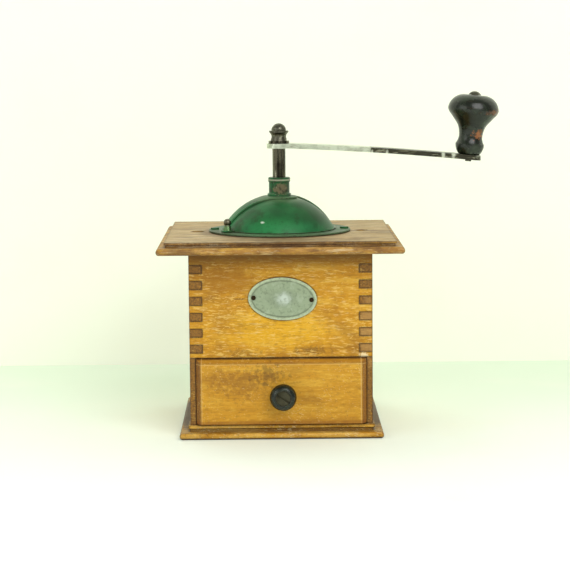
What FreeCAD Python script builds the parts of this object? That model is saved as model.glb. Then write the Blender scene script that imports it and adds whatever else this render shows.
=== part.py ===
import FreeCAD, Part
import Sketcher
import math
import os
import re

Vector = FreeCAD.Vector
doc = FreeCAD.newDocument("coffee_mill")

# Sizes in millimetres and degrees, one named cell each
SIZES = [
    ("box_w", "120", "outer width and depth of the box"),
    ("box_h", "114", "height of the box walls"),
    ("wall", "8.5", "thickness of the box boards"),
    ("base_t", "9", "thickness of the base board"),
    ("base_over", "7", "overhang of the base board"),
    ("top_t", "8", "thickness of the top board"),
    ("top_over", "20", "overhang of the top board"),
    ("nose_t", "4.6", "height of the rounded edge of both moulded boards"),
    ("nose_round", "2.2", "rounding of that edge"),
    ("cove_t", "1.9", "height of the sunk line above the rounded edge"),
    ("cove_in", "0.9", "depth of the sunk line"),
    ("base_ledge", "5.6", "set-back of the upper step of the base board"),
    ("top_ledge", "5", "set-back of the upper step of the top board"),
    ("finger_h", "5.25", "height of one finger of the corner joints"),
    ("finger_pitch", "10.5", "spacing of the fingers"),
    ("finger_land", "8.4", "plain wood above the top finger"),
    ("joint_gap", "0.15", "glue gap round a finger"),
    ("drawer_bay", "44.5", "height of the drawer bay above the base board"),
    ("drawer_lap", "4.4", "overlap of the drawer front on a side board"),
    ("drawer_gap", "0.5", "open gap above and below the drawer front"),
    ("rebate_gap", "0.3", "open gap round the drawer front in its rebate"),
    ("drawer_front_t", "8.5", "thickness of the drawer front"),
    ("drawer_seat", "4.5", "depth of the drawer front inside the box"),
    ("bevel_w", "3.8", "width of the bevel on the drawer front"),
    ("bevel_d", "2.6", "depth of that bevel"),
    ("drawer_side_t", "6", "thickness of the drawer sides and back"),
    ("drawer_side_h", "36", "height of the drawer sides"),
    ("drawer_room", "9", "free room behind the drawer"),
    ("drawer_play", "0.6", "side play of the drawer in the box"),
    ("drawer_run", "0.2", "play of the drawer over the base board"),
    ("drawer_floor_t", "3", "thickness of the drawer floor"),
    ("drawer_floor_up", "2", "height of the floor above the lower edge of the sides"),
    ("nail_r", "0.9", "radius of a drawer nail"),
    ("nail_len", "16", "length of a drawer nail"),
    ("pull_x", "1", "offset of the drawer knob to the right"),
    ("pull_z", "29", "height of the drawer knob"),
    ("pull_r", "8.75", "radius of the drawer knob"),
    ("pull_len", "13", "length of the drawer knob"),
    ("pull_neck_r", "5.6", "radius of its neck"),
    ("pull_screw_r", "2", "radius of its screw"),
    ("pull_head_r", "4.7", "radius of the head of its screw"),
    ("pull_head_t", "1.8", "thickness of that head"),
    ("pull_nut_r", "4.6", "corner radius of the nut behind the drawer front"),
    ("pull_nut_t", "3.2", "thickness of that nut"),
    ("slot_w", "1.1", "width of a screw slot"),
    ("slot_d", "0.9", "depth of a screw slot"),
    ("slot_turn", "-33", "turn of the slot in the knob screw"),
    ("badge_a", "22.4", "half length of the oval badge"),
    ("badge_b", "13.95", "half height of the oval badge"),
    ("badge_t", "0.8", "thickness of the badge sheet"),
    ("badge_rim", "1.3", "width of its raised rim"),
    ("badge_rim_t", "0.6", "height of its raised rim"),
    ("badge_x", "1.2", "offset of the badge to the right"),
    ("badge_z", "92.3", "height of the badge"),
    ("badge_turn", "2.5", "turn of the badge, right end low"),
    ("badge_pin_x", "18.95", "distance of a badge pin from its centre"),
    ("badge_pin_r", "0.8", "radius of a badge pin"),
    ("badge_pin_head", "1.5", "radius of its head"),
    ("badge_pin_len", "7", "length of a badge pin in the wood"),
    ("case_screw_r", "2", "radius of the case screws"),
    ("case_screw_len", "18", "length of a case screw in the side board"),
    ("case_head_r", "4", "radius of the head of a case screw"),
    ("case_head_t", "1.6", "thickness of that head"),
    ("case_hole_r", "4.5", "radius of the recess for a case screw"),
    ("case_sink", "3.2", "depth of that recess"),
    ("base_screw_y", "40", "distance of the base screws from the middle"),
    ("sheet_t", "0.8", "thickness of the pressed dome"),
    ("bowl_t", "0.6", "thickness of the hopper bowl"),
    ("dome_r", "43.7", "outer radius of the dome"),
    ("dome_rise", "23.4", "height of the dome top above the flange underside"),
    ("dome_flat_r", "11", "radius of the flat top of the dome"),
    ("flange_r", "48", "radius of the dome flange"),
    ("flange_screw_x", "44", "distance of the flange screws from the axis"),
    ("flange_screw_r", "1.5", "radius of the flange screws"),
    ("flange_screw_len", "6", "length of a flange screw in the wood"),
    ("flange_head_r", "2.9", "radius of the head of a flange screw"),
    ("flange_head_t", "1.1", "thickness of that head"),
    ("window_y", "12", "left edge of the filling window in front of the axis"),
    ("window_rim_r", "12.4", "radius of the edge of the window round the flat top"),
    ("window_angle", "18", "direction of the right edge of the filling window"),
    ("shell_gap", "0.35", "gap between the dome and the shutter"),
    ("shutter_t", "0.8", "thickness of the shutter"),
    ("shutter_start_angle", "193", "direction of the left edge of the closed shutter"),
    ("shutter_span_angle", "191", "angle covered by the shutter"),
    ("lug_dir", "210", "direction of the shutter knob when closed"),
    ("lug_out", "40.5", "distance of the shutter knob from the axis"),
    ("lug_r", "4.2", "radius of the lug below the shutter knob"),
    ("lug_gap", "0.4", "gap between the lug and the flange"),
    ("stud_foot_r", "2.8", "radius of the foot of the shutter knob"),
    ("stud_neck_r", "1.9", "radius of its neck"),
    ("stud_neck_h", "3.5", "height of its neck"),
    ("stud_ball_r", "2.55", "radius of its ball"),
    ("stud_pin_r", "1.2", "radius of its rivet end"),
    ("collar_flare_r", "8", "radius of the foot of the collar"),
    ("collar_flare_h", "2.2", "height of that foot"),
    ("collar_r", "7", "radius of the collar"),
    ("collar_h", "9.3", "height of the collar below its lip"),
    ("collar_lip_r", "7.5", "radius of the collar lip"),
    ("collar_lip_h", "3.3", "height of the collar lip"),
    ("spigot_r", "6", "radius of the collar spigot"),
    ("retainer_r", "9.6", "radius of the shutter retainer"),
    ("retainer_t", "0.8", "thickness of the shutter retainer"),
    ("turn_gap", "0.05", "running clearance of a turning fit"),
    ("shaft_r", "4.4", "radius of the drive shaft"),
    ("neck_r", "3", "radius of the shaft neck in the crank hub"),
    ("neck_len", "11.7", "length of that neck"),
    ("crank_up", "56.3", "height of the crank hub above the top board"),
    ("bowl_rim_r", "46", "radius of the rim of the hopper bowl"),
    ("bowl_mouth_r", "40.6", "outer radius of the bowl at its mouth"),
    ("bowl_waist_r", "33.8", "outer radius of the bowl below the top board"),
    ("bowl_foot_r", "25", "outer radius of the bowl at its foot"),
    ("bowl_hole_r", "15.2", "radius of the throat of the bowl"),
    ("bowl_drop", "28", "depth of the bowl below the top board"),
    ("bowl_gap", "0.6", "gap round the bowl in the top board"),
    ("ring_r", "22", "outer radius of the fixed burr"),
    ("ring_h", "24", "height of the fixed burr"),
    ("ring_top_r", "15", "upper bore of the fixed burr"),
    ("ring_low_r", "18.5", "lower bore of the fixed burr"),
    ("ring_tooth", "1", "depth of the grooves of the fixed burr"),
    ("ear_w", "12", "width of the ears"),
    ("ear_h", "8", "height of the ears"),
    ("ear_up", "7", "height of the ears above the burr foot"),
    ("cone_low_r", "17.2", "lower radius of the turning burr"),
    ("cone_top_r", "6.5", "upper radius of the turning burr"),
    ("cone_h", "21", "height of the turning burr"),
    ("cone_up", "1", "height of the turning burr above the fixed burr foot"),
    ("flute_in", "8.6", "inner radius of the coarse flutes"),
    ("flute_w", "4", "width of the coarse flutes"),
    ("flutes", "6", "number of coarse flutes"),
    ("tooth_in", "15.4", "inner radius of the fine teeth"),
    ("tooth_w", "2.4", "width of the fine teeth"),
    ("teeth", "24", "number of fine teeth on both burrs"),
    ("cross_pin_r", "1.5", "radius of the cross pin of the turning burr"),
    ("cross_pin_half", "8", "half length of that pin"),
    ("cross_pin_up", "16", "height of that pin above the burr foot"),
    ("ball_r", "2.5", "radius of the thrust ball"),
    ("ball_play", "0.1", "play of the thrust ball in its socket"),
    ("socket_d", "1.5", "depth of that socket in the shaft end"),
    ("strap_t", "4", "thickness of the lower bridge"),
    ("strap_w", "16", "width of the lower bridge"),
    ("strap_gap", "0.7", "gap between the feet of the bridge and the side boards"),
    ("strap_foot_len", "6.6", "length of the feet of the bridge"),
    ("strap_drop", "57", "drop of the bridge below the top board"),
    ("strap_screw_y", "5", "distance of the bridge screws from the middle"),
    ("strap_screw_r", "1.6", "radius of the bridge screws"),
    ("strap_screw_len", "5", "length of a bridge screw in the wood"),
    ("strap_head_r", "2.9", "radius of the head of a bridge screw"),
    ("strap_head_t", "1.5", "thickness of that head"),
    ("ring_screw_r", "2", "radius of the burr screws"),
    ("ring_screw_len", "12", "length of a burr screw below its head"),
    ("ring_head_r", "3.6", "radius of the head of a burr screw"),
    ("ring_head_t", "2", "thickness of that head"),
    ("adjust_r", "4", "radius of the adjusting screw"),
    ("adjust_len", "15", "length of the adjusting screw above its head"),
    ("adjust_head_r", "10", "radius of its thumb head"),
    ("adjust_head_t", "5", "thickness of its thumb head"),
    ("knurls", "18", "number of grip notches in the thumb head"),
    ("knurl_r", "0.9", "radius of a grip notch"),
    ("lock_nut_r", "8", "corner radius of the lock nut"),
    ("lock_nut_t", "3.2", "thickness of the lock nut"),
    ("lock_nut_up", "1", "height of the lock nut above the thumb head"),
    ("arm_w", "15", "width of the crank arm"),
    ("arm_t", "3.2", "thickness of the crank arm"),
    ("arm_reach", "128.8", "distance of the knob pin from the axis"),
    ("arm_end_r", "8.1", "radius of the ends of the arm"),
    ("arm_drop", "9.5", "drop of the arm at its far end"),
    ("arm_bow", "2100", "radius of the downward bow of the arm"),
    ("washer_r", "7", "radius of the crank washer"),
    ("washer_t", "1.8", "thickness of the crank washer"),
    ("nut_foot_r", "5.6", "radius of the foot of the cap nut"),
    ("nut_waist_r", "4.9", "radius of its waist"),
    ("nut_waist_h", "2.6", "height of its waist"),
    ("nut_rim_r", "6.5", "radius of its rim"),
    ("nut_rim_h", "5.7", "height of its rim"),
    ("nut_rim_t", "1.1", "thickness of its rim"),
    ("nut_flare", "4", "radius of the hollow below its rim"),
    ("nut_neck_h", "8", "height of the start of its round top"),
    ("nut_h", "11.8", "height of the cap nut"),
    ("nut_round", "5.2", "radius of its round top"),
    ("knob_lean", "5.8", "outward lean of the knob axis"),
    ("knob_lift", "0.2", "gap between the knob and the arm"),
    ("knob_h", "40.1", "height of the crank knob"),
    ("knob_r", "17.15", "largest radius of the crank knob"),
    ("knob_foot_r", "7", "radius of its foot"),
    ("knob_ring_r", "9.65", "radius of the sharp ring above the foot"),
    ("knob_neck_r", "8", "radius of its neck"),
    ("knob_belly_h", "30.5", "height of its largest radius"),
    ("knob_top_r", "7.5", "radius of its flat top"),
    ("pin_r", "2.1", "radius of the knob pin"),
    ("pin_out", "1.3", "length of the pin below the arm"),
    ("pin_head_r", "4.2", "radius of the head of the knob pin"),
    ("pin_head_h", "2.4", "height of that head"),
    ("tip_r", "0.5", "radius of the flat left on a rounded top"),
    ("half_box", "=box_w / 2", "half width of the box"),
    ("in_box", "=half_box - wall", "half width inside the box"),
    ("box_top", "=base_t + box_h", "height of the underside of the top board"),
    ("deck", "=box_top + top_t", "height of the upper face of the top board"),
    ("base_half", "=half_box + base_over", "half width of the base board"),
    ("top_half", "=half_box + top_over", "half width of the top board"),
    ("front_low", "=base_t + drawer_bay", "height of the lower edge of the front board"),
    ("wall_mid", "=half_box - wall / 2", "middle of a side board"),
    ("back_room", "=box_h - finger_land - finger_h", "height for the other back fingers"),
    ("fingers_back", "=floor(back_room / finger_pitch) + 1", "fingers at each back corner"),
    ("front_room", "=back_room - drawer_bay", "height for the other front fingers"),
    ("fingers_front", "=floor(front_room / finger_pitch) + 1", "fingers at each front corner"),
    ("flange_low", "=deck + bowl_t", "height of the underside of the dome flange"),
    ("flange_top", "=flange_low + sheet_t", "height of the upper face of the dome flange"),
    ("dome_top", "=flange_low + dome_rise", "height of the flat top of the dome"),
    ("dome_mid", "=dome_top - sqrt(dome_r ^ 2 - dome_flat_r ^ 2)", "height of the dome centre"),
    ("dome_in", "=dome_r - sheet_t", "inner radius of the dome"),
    ("cover_out", "=dome_in - shell_gap", "outer radius of the shutter"),
    ("cover_in", "=cover_out - shutter_t", "inner radius of the shutter"),
    ("cover_top", "=dome_top - sheet_t - shell_gap", "height of the flat top of the shutter"),
    ("cover_low", "=flange_top + lug_gap", "height of the lower edge of the shutter"),
    ("retainer_top", "=cover_top - shutter_t - turn_gap", "height of the shutter retainer"),
    ("ring_top", "=deck - bowl_drop", "height of the top of the fixed burr"),
    ("ring_low", "=ring_top - ring_h", "height of the foot of the fixed burr"),
    ("cone_low", "=ring_low + cone_up", "height of the foot of the turning burr"),
    ("ball_z", "=cone_low - ball_r", "height of the thrust ball"),
    ("strap_low", "=box_top - strap_drop", "height of the underside of the bridge"),
    ("strap_foot", "=in_box - strap_gap", "half length over the feet of the bridge"),
    ("strap_x", "=strap_foot - strap_foot_len - strap_t", "inner half width of the bridge"),
    ("strap_screw_x", "=(strap_x + strap_t + strap_foot) / 2", "bridge screws from the axis"),
    ("adjust_top", "=ball_z - ball_r", "height of the tip of the adjusting screw"),
    ("adjust_foot", "=adjust_top - adjust_len", "height of the top of the thumb head"),
    ("ear_z", "=ring_low + ear_up + ear_h / 2", "height of the burr screws"),
    ("crank_z", "=deck + crank_up", "height of the underside of the crank hub"),
    ("hub_top", "=crank_z + arm_t", "height of the upper face of the crank hub"),
    ("arm_end", "=arm_reach + arm_end_r", "far end of the arm"),
    ("pin_z", "=hub_top - arm_drop + arm_end_r * tan(knob_lean)", "arm height at the pin"),
    ("drawer_low", "=base_t + drawer_run", "height of the lower edge of the drawer sides"),
    ("drawer_y", "=-half_box + drawer_seat", "back face of the drawer front"),
    ("drawer_x", "=in_box - drawer_play", "half width of the drawer box"),
    ("drawer_end", "=in_box - drawer_room", "back end of the drawer"),
    ("drawer_face", "=drawer_y - drawer_front_t", "front face of the drawer front"),
    ("drawer_half", "=in_box + drawer_lap", "half width of the drawer front"),
]

sheet = doc.addObject("Spreadsheet::Sheet", "Sizes")
for row, (name, value, meaning) in enumerate(SIZES, 1):
    sheet.set(f"A{row}", meaning)
    sheet.set(f"B{row}", value)
    sheet.setAlias(f"B{row}", name)
doc.recompute()

NAMES = {name for name, _, _ in SIZES}
WORD = re.compile(r"[A-Za-z_][A-Za-z_0-9]*")
NODES = {}


def bound(text):
    """Give every size name in an expression its sheet."""
    return WORD.sub(lambda m: "Sizes." + m[0] if m[0] in NAMES else m[0], text)


def bind(obj, prop, text):
    """Tie one property to an expression of named sizes."""
    obj.setExpression(prop, bound(text))


def num(text):
    """Present value of an expression of named sizes."""
    return float(sheet.evalExpression(text))


def count(name):
    """Present value of a size that is a whole number."""
    return int(round(num(name)))


def place(obj, at, axis=(0, 0, 1), angle=0):
    """Turn an object about an axis and bind the place of its origin."""
    obj.Placement = FreeCAD.Placement(Vector(), FreeCAD.Rotation(Vector(*axis), angle))
    for letter, text in zip("xyz", at):
        bind(obj, "Placement.Base." + letter, text)
    return obj


def block(name, x, y, z):
    """Rectangular block between three pairs of bound faces."""
    obj = doc.addObject("Part::Box", name)
    for prop, (low, high) in zip(("Length", "Width", "Height"), (x, y, z)):
        bind(obj, prop, f"({high}) - ({low})")
    return place(obj, (x[0], y[0], z[0]))


def rod(name, radius, length, at, axis=(0, 0, 1), angle=0):
    """Round rod that starts at a point."""
    obj = doc.addObject("Part::Cylinder", name)
    bind(obj, "Radius", radius)
    bind(obj, "Height", length)
    return place(obj, at, axis, angle)


def hexagon(name, radius, length, at, axis=(0, 0, 1), angle=0):
    """Six-sided rod that starts at a point."""
    obj = doc.addObject("Part::Prism", name)
    obj.Polygon = 6
    bind(obj, "Circumradius", radius)
    bind(obj, "Height", length)
    return place(obj, at, axis, angle)


def fuse(name, members):
    """Join solids into one."""
    obj = doc.addObject("Part::MultiFuse", name)
    obj.Shapes = members
    return obj


def cut(name, base, tools):
    """Take one or more solids away from a base."""
    tool = tools[0] if len(tools) == 1 else fuse(name + "_tools", tools)
    obj = doc.addObject("Part::Cut", name)
    obj.Base = base
    obj.Tool = tool
    return obj


def group(name, members):
    """Like pieces kept together as one node."""
    obj = doc.addObject("Part::Compound", name)
    obj.Links = members
    return obj


def sketch(body, plane, points, lift=None):
    """Closed outline of bound corners on one of the body's own planes.

    A corner with a third value starts an arc of that radius to the next corner, and its
    fourth value tells whether the arc's centre is on the left or on the right.
    """
    sk = body.newObject("Sketcher::SketchObject", body.Name + "_sketch")
    origin = [f for f in body.Origin.OriginFeatures if f.Role == plane][0]
    sk.AttachmentSupport = [(origin, "")]
    sk.MapMode = "FlatFace"
    if lift:
        bind(sk, "AttachmentOffset.Base.z", lift)
    spots = [Vector(num(p[0]), num(p[1]), 0) for p in points]
    for i, point in enumerate(points):
        a = spots[i]
        b = spots[(i + 1) % len(spots)]
        if len(point) == 2:
            sk.addGeometry(Part.LineSegment(a, b), False)
            continue
        radius = num(point[2])
        half = (b - a) * 0.5
        side = Vector(-half.y, half.x, 0).normalize()
        if point[3] == "right":
            side = side * -1
        centre = a + half + side * math.sqrt(radius ** 2 - half.Length ** 2)
        ends = [math.atan2(p.y - centre.y, p.x - centre.x) for p in (a, b)]
        if point[3] == "right":
            ends.reverse()
        circle = Part.Circle(centre, Vector(0, 0, 1), radius)
        sk.addGeometry(Part.ArcOfCircle(circle, ends[0], ends[1]), False)
    total = len(points)
    for i, point in enumerate(points):
        start = 2 if len(point) > 2 and point[3] == "right" else 1
        before = points[i - 1]
        end = 1 if len(before) > 2 and before[3] == "right" else 2
        sk.addConstraint(Sketcher.Constraint("Coincident", (i - 1) % total, end, i, start))
        for kind, text, spot in (("DistanceX", point[0], spots[i].x),
                                 ("DistanceY", point[1], spots[i].y)):
            index = sk.addConstraint(Sketcher.Constraint(kind, -1, 1, i, start, spot))
            bind(sk, f"Constraints[{index}]", text)
        if len(point) > 2:
            radius = num(point[2])
            index = sk.addConstraint(Sketcher.Constraint("Radius", i, radius))
            bind(sk, f"Constraints[{index}]", point[2])
    return sk


def new_body(name):
    """Empty body under its node name."""
    return doc.addObject("PartDesign::Body", name)


def pad(body, plane, points, length, lift=None, midplane=False):
    """Outline raised by a bound length."""
    sk = sketch(body, plane, points, lift)
    obj = body.newObject("PartDesign::Pad", body.Name + "_pad")
    obj.Profile = sk
    obj.Midplane = midplane
    bind(obj, "Length", length)
    return obj


def turn(body, points, angle="360"):
    """Outline of radius and height turned about the body's upright axis."""
    sk = sketch(body, "XZ_Plane", points)
    obj = body.newObject("PartDesign::Revolution", body.Name + "_turn")
    obj.Profile = sk
    obj.ReferenceAxis = (sk, ["V_Axis"])
    bind(obj, "Angle", angle)
    return obj


def turned(name, points):
    """Body turned all the way round."""
    body = new_body(name)
    turn(body, points)
    return body


def square(half):
    """Corners of a square about the middle."""
    return [(f"-({half})", f"-({half})"), (half, f"-({half})"), (half, half), (f"-({half})", half)]


def around(body, feature, name):
    """Repeat a cut evenly about the body's upright axis."""
    obj = body.newObject("PartDesign::PolarPattern", body.Name + "_round")
    obj.Originals = [feature]
    obj.Axis = (feature.Profile[0], ["N_Axis"])
    obj.Angle = 360
    obj.Occurrences = count(name)
    body.Tip = obj
    return obj


def notch(body, points, length, lift, name):
    """Grooves cut upward through a height and repeated about the axis."""
    sk = sketch(body, "XY_Plane", points, lift)
    obj = body.newObject("PartDesign::Pocket", body.Name + "_notch")
    obj.Profile = sk
    obj.Reversed = True
    bind(obj, "Length", length)
    return around(body, obj, name)


def screw(name, sizes, at, axis=(0, 0, 1), angle=0, slot="0"):
    """Slotted screw with the underside of its head at a point."""
    head_r, head_t, shank_r, shank_len = sizes
    head = rod(name + "_head", head_r, head_t, ("0", "0", "0"))
    shank = rod(name + "_shank", shank_r, shank_len, ("0", "0", f"-({shank_len})"))
    slot_box = block(name + "_slot", (f"-({head_r})", head_r), ("-slot_w / 2", "slot_w / 2"),
                     (f"{head_t} - slot_d", head_t))
    wide = cut(name + "_body", fuse(name + "_joined", [head, shank]), [slot_box])
    bind(wide, "Placement.Rotation.Angle", slot)
    return place(group(name, [wide]), at, axis, angle)


def keep(obj, label):
    """Record a finished node."""
    obj.Label = label
    NODES[label] = obj
    return obj


UP = ((0, 0, 1), 0)
DOWN = ((1, 0, 0), 180)
FRONT = ((1, 0, 0), 90)
RIGHT = ((0, 1, 0), 90)
LEFT = ((0, 1, 0), -90)
SIDES = (("left", -1), ("right", 1))


def moulded(name, half, ledge, thick):
    """Board with a rounded lower edge, a sunk line and a set-back upper step."""
    body = new_body(name)
    nose = pad(body, "XY_Plane", square(half), "nose_t")
    doc.recompute()
    level = [f"Edge{i}" for i, e in enumerate(nose.Shape.Edges, 1)
             if abs(e.Vertexes[0].Z - e.Vertexes[1].Z) < 1e-6]
    soft = body.newObject("PartDesign::Fillet", name + "_nose")
    soft.Base = (nose, level)
    bind(soft, "Radius", "nose_round")
    pad(body, "XY_Plane", square(f"{half} - {ledge} - cove_in"), "nose_t + cove_t")
    pad(body, "XY_Plane", square(f"{half} - {ledge}"), f"{thick} - nose_t - cove_t",
        "nose_t + cove_t")
    return body


def span(side, low, high):
    """Pair of bounds on the left or the right, in rising order."""
    return (low, high) if side > 0 else (f"-({high})", f"-({low})")


# Base board with four screws from below into the side boards
CASE = ("case_head_r", "case_head_t", "case_screw_r", "case_screw_len + base_t - case_sink")
CASE_TOP = ("case_head_r", "case_head_t", "case_screw_r", "case_screw_len + top_t - case_sink")
base = moulded("base_plain", "base_half", "base_ledge", "base_t")
base_cuts = []
base_screws = []
for i, (sx, sy) in enumerate(((-1, -1), (1, -1), (1, 1), (-1, 1)), 1):
    spot = (f"{sx} * wall_mid", f"{sy} * base_screw_y")
    base_cuts.append(rod(f"base_sink_{i}", "case_hole_r", "case_sink", spot + ("0",)))
    base_cuts.append(rod(f"base_hole_{i}", "case_screw_r", "base_t", spot + ("0",)))
    base_screws.append(screw(f"base_screw_{i}", CASE, spot + ("case_sink",), *DOWN))
keep(cut("base_board", base, base_cuts), "base_board")
keep(group("base_screws", base_screws), "base_screws")

# Side boards with fingers at both ends, a drawer rebate and screw holes
for word, side in SIDES:
    x = span(side, "in_box", "half_box")
    board = [block(f"{word}_plain", x, ("-in_box", "in_box"), ("base_t", "box_top")),
             block(f"{word}_stile", x, ("-half_box", "-in_box"), ("base_t", "front_low - joint_gap"))]
    for end, number, y in (("front", "fingers_front", ("-half_box", "-in_box")),
                           ("back", "fingers_back", ("in_box", "half_box"))):
        for i in range(count(number)):
            top = f"box_top - finger_land - {i} * finger_pitch"
            board.append(block(f"{word}_{end}_finger_{i + 1}", x, y, (f"{top} - finger_h", top)))
    rebate = block(f"{word}_rebate", span(side, "in_box", "drawer_half + rebate_gap"),
                   ("-half_box", "drawer_y + rebate_gap"), ("base_t", "front_low"))
    holes = [rebate]
    spot = (f"{side} * wall_mid", "0", "box_top - case_screw_len")
    holes.append(rod(f"{word}_top_hole", "case_screw_r", "case_screw_len", spot))
    for end, sy in (("front", -1), ("back", 1)):
        spot = (f"{side} * wall_mid", f"{sy} * base_screw_y", "base_t")
        holes.append(rod(f"{word}_{end}_hole", "case_screw_r", "case_screw_len", spot))
    node = f"{word}_side_board"
    keep(cut(node, fuse(f"{word}_joined", board), holes), node)

# Front and back boards, slotted for the fingers
for end, number, y, low in (("front", "fingers_front", ("-half_box", "-in_box"), "front_low"),
                            ("back", "fingers_back", ("in_box", "half_box"), "base_t")):
    slots = []
    for word, side in SIDES:
        for i in range(count(number)):
            top = f"box_top - finger_land - {i} * finger_pitch"
            slots.append(block(f"{end}_{word}_slot_{i + 1}",
                               span(side, "in_box - joint_gap", "half_box"), y,
                               (f"{top} - finger_h - joint_gap", f"{top} + joint_gap")))
    if end == "front":
        for word, side in SIDES:
            spot = (f"badge_x + {side} * badge_pin_x * cos(badge_turn)", "-half_box",
                    f"badge_z - {side} * badge_pin_x * sin(badge_turn)")
            slots.append(rod(f"front_{word}_pin_hole", "badge_pin_r", "badge_pin_len", spot,
                             (1, 0, 0), -90))
    plain = block(f"{end}_plain", ("-half_box", "half_box"), y, (low, "box_top"))
    keep(cut(f"{end}_board", plain, slots), f"{end}_board")

# Top board with the hopper hole and its screws
top = moulded("top_plain", "top_half", "top_ledge", "top_t")
place(top, ("0", "0", "box_top"))
top_cuts = [rod("top_mouth", "bowl_mouth_r + bowl_gap", "top_t", ("0", "0", "box_top"))]
top_screws = []
dome_screws = []
strap_screws = []
FLANGE = ("flange_head_r", "flange_head_t", "flange_screw_r",
          "flange_screw_len + bowl_t + sheet_t")
STRAP = ("strap_head_r", "strap_head_t", "strap_screw_r", "strap_screw_len + strap_t")
for word, side in SIDES:
    spot = (f"{side} * wall_mid", "0")
    top_cuts.append(rod(f"top_{word}_hole", "case_screw_r", "top_t", spot + ("box_top",)))
    top_cuts.append(rod(f"top_{word}_sink", "case_hole_r", "case_sink", spot + ("deck - case_sink",)))
    top_screws.append(screw(f"top_{word}_screw", CASE_TOP, spot + ("deck - case_sink",), *UP))
    spot = (f"{side} * flange_screw_x", "0")
    top_cuts.append(rod(f"top_{word}_flange_hole", "flange_screw_r", "flange_screw_len",
                        spot + ("deck - flange_screw_len",)))
    dome_screws.append(screw(f"dome_{word}_screw", FLANGE, spot + ("flange_top",), *UP))
    for end, sy in (("front", -1), ("back", 1)):
        spot = (f"{side} * strap_screw_x", f"{sy} * strap_screw_y")
        top_cuts.append(rod(f"top_{word}_{end}_strap_hole", "strap_screw_r", "strap_screw_len",
                            spot + ("box_top",)))
        strap_screws.append(screw(f"strap_{word}_{end}_screw", STRAP,
                                  spot + ("box_top - strap_t",), *DOWN))
keep(cut("top_board", top, top_cuts), "top_board")
keep(group("top_screws", top_screws), "top_screws")
keep(group("dome_screws", dome_screws), "dome_screws")
keep(group("bridge_screws", strap_screws), "bridge_screws")


def oval(name, a, b, depth):
    """Oval sheet standing upright, thick towards the front."""
    flat = doc.addObject("Part::Ellipse", name + "_line")
    bind(flat, "MajorRadius", a)
    bind(flat, "MinorRadius", b)
    solid = doc.addObject("Part::Extrusion", name)
    solid.Base = flat
    solid.DirMode = "Custom"
    solid.Dir = Vector(0, 0, 1)
    solid.Solid = True
    bind(solid, "LengthFwd", depth)
    return solid


# Plain oval badge with a raised rim, nailed on with two pins
plate = oval("badge_plate", "badge_a", "badge_b", "badge_t + badge_rim_t")
inner = oval("badge_field", "badge_a - badge_rim", "badge_b - badge_rim", "badge_rim_t")
place(inner, ("0", "0", "badge_t"))
badge_cuts = [inner]
badge_pins = []
PIN = ("badge_pin_head", "badge_rim_t", "badge_pin_r", "badge_pin_len + badge_t")
for word, side in SIDES:
    badge_cuts.append(rod(f"badge_{word}_hole", "badge_pin_r", "badge_t",
                          (f"{side} * badge_pin_x", "0", "0")))
    head = rod(f"badge_{word}_head", PIN[0], PIN[1], ("0", "0", "0"))
    shank = rod(f"badge_{word}_shank", PIN[2], PIN[3], ("0", "0", f"-({PIN[3]})"))
    spot = (f"badge_x + {side} * badge_pin_x * cos(badge_turn)", "-half_box - badge_t",
            f"badge_z - {side} * badge_pin_x * sin(badge_turn)")
    badge_pins.append(place(fuse(f"badge_{word}_pin", [head, shank]), spot, *FRONT))
badge_flat = cut("badge_flat", plate, badge_cuts)
bind(badge_flat, "Placement.Rotation.Angle", "-badge_turn")
badge = place(group("front_badge", [badge_flat]), ("badge_x", "-half_box", "badge_z"), *FRONT)
keep(badge, "front_badge")
keep(group("badge_pins", badge_pins), "badge_pins")

# Pressed dome with its filling window, flange and flat top
FOOT = "sqrt({0} ^ 2 - ({1} - dome_mid) ^ 2)"
dome = turned("dome_shell", [
    ("spigot_r", "dome_top"),
    ("spigot_r", "dome_top - sheet_t"),
    (FOOT.format("dome_in", "dome_top - sheet_t"), "dome_top - sheet_t", "dome_in", "right"),
    (FOOT.format("dome_in", "flange_low"), "flange_low"),
    ("flange_r", "flange_low"),
    ("flange_r", "flange_top"),
    (FOOT.format("dome_r", "flange_top"), "flange_top", "dome_r", "left"),
    ("dome_flat_r", "dome_top"),
])
window_tall = ("flange_top", "dome_top")
right_block = block("window_right_block", ("-window_rim_r * sin(window_angle)", "flange_r"),
                    ("-flange_r", "0"), window_tall)
right_window = cut("window_right", right_block, [
    rod("window_rim", "window_rim_r", "dome_top - flange_top", ("0", "0", "flange_top"))])
bind(right_window, "Placement.Rotation.Angle", "window_angle")
dome_cuts = [block("window_left", ("-flange_r", "flange_r"), ("-flange_r", "-window_y"), window_tall),
             right_window]
bowl_cuts = []
for word, side in SIDES:
    spot = (f"{side} * flange_screw_x", "0")
    dome_cuts.append(rod(f"dome_{word}_hole", "flange_screw_r", "sheet_t", spot + ("flange_low",)))
    bowl_cuts.append(rod(f"bowl_{word}_hole", "flange_screw_r", "bowl_t", spot + ("deck",)))
keep(cut("hopper_dome", dome, dome_cuts), "hopper_dome")

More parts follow.
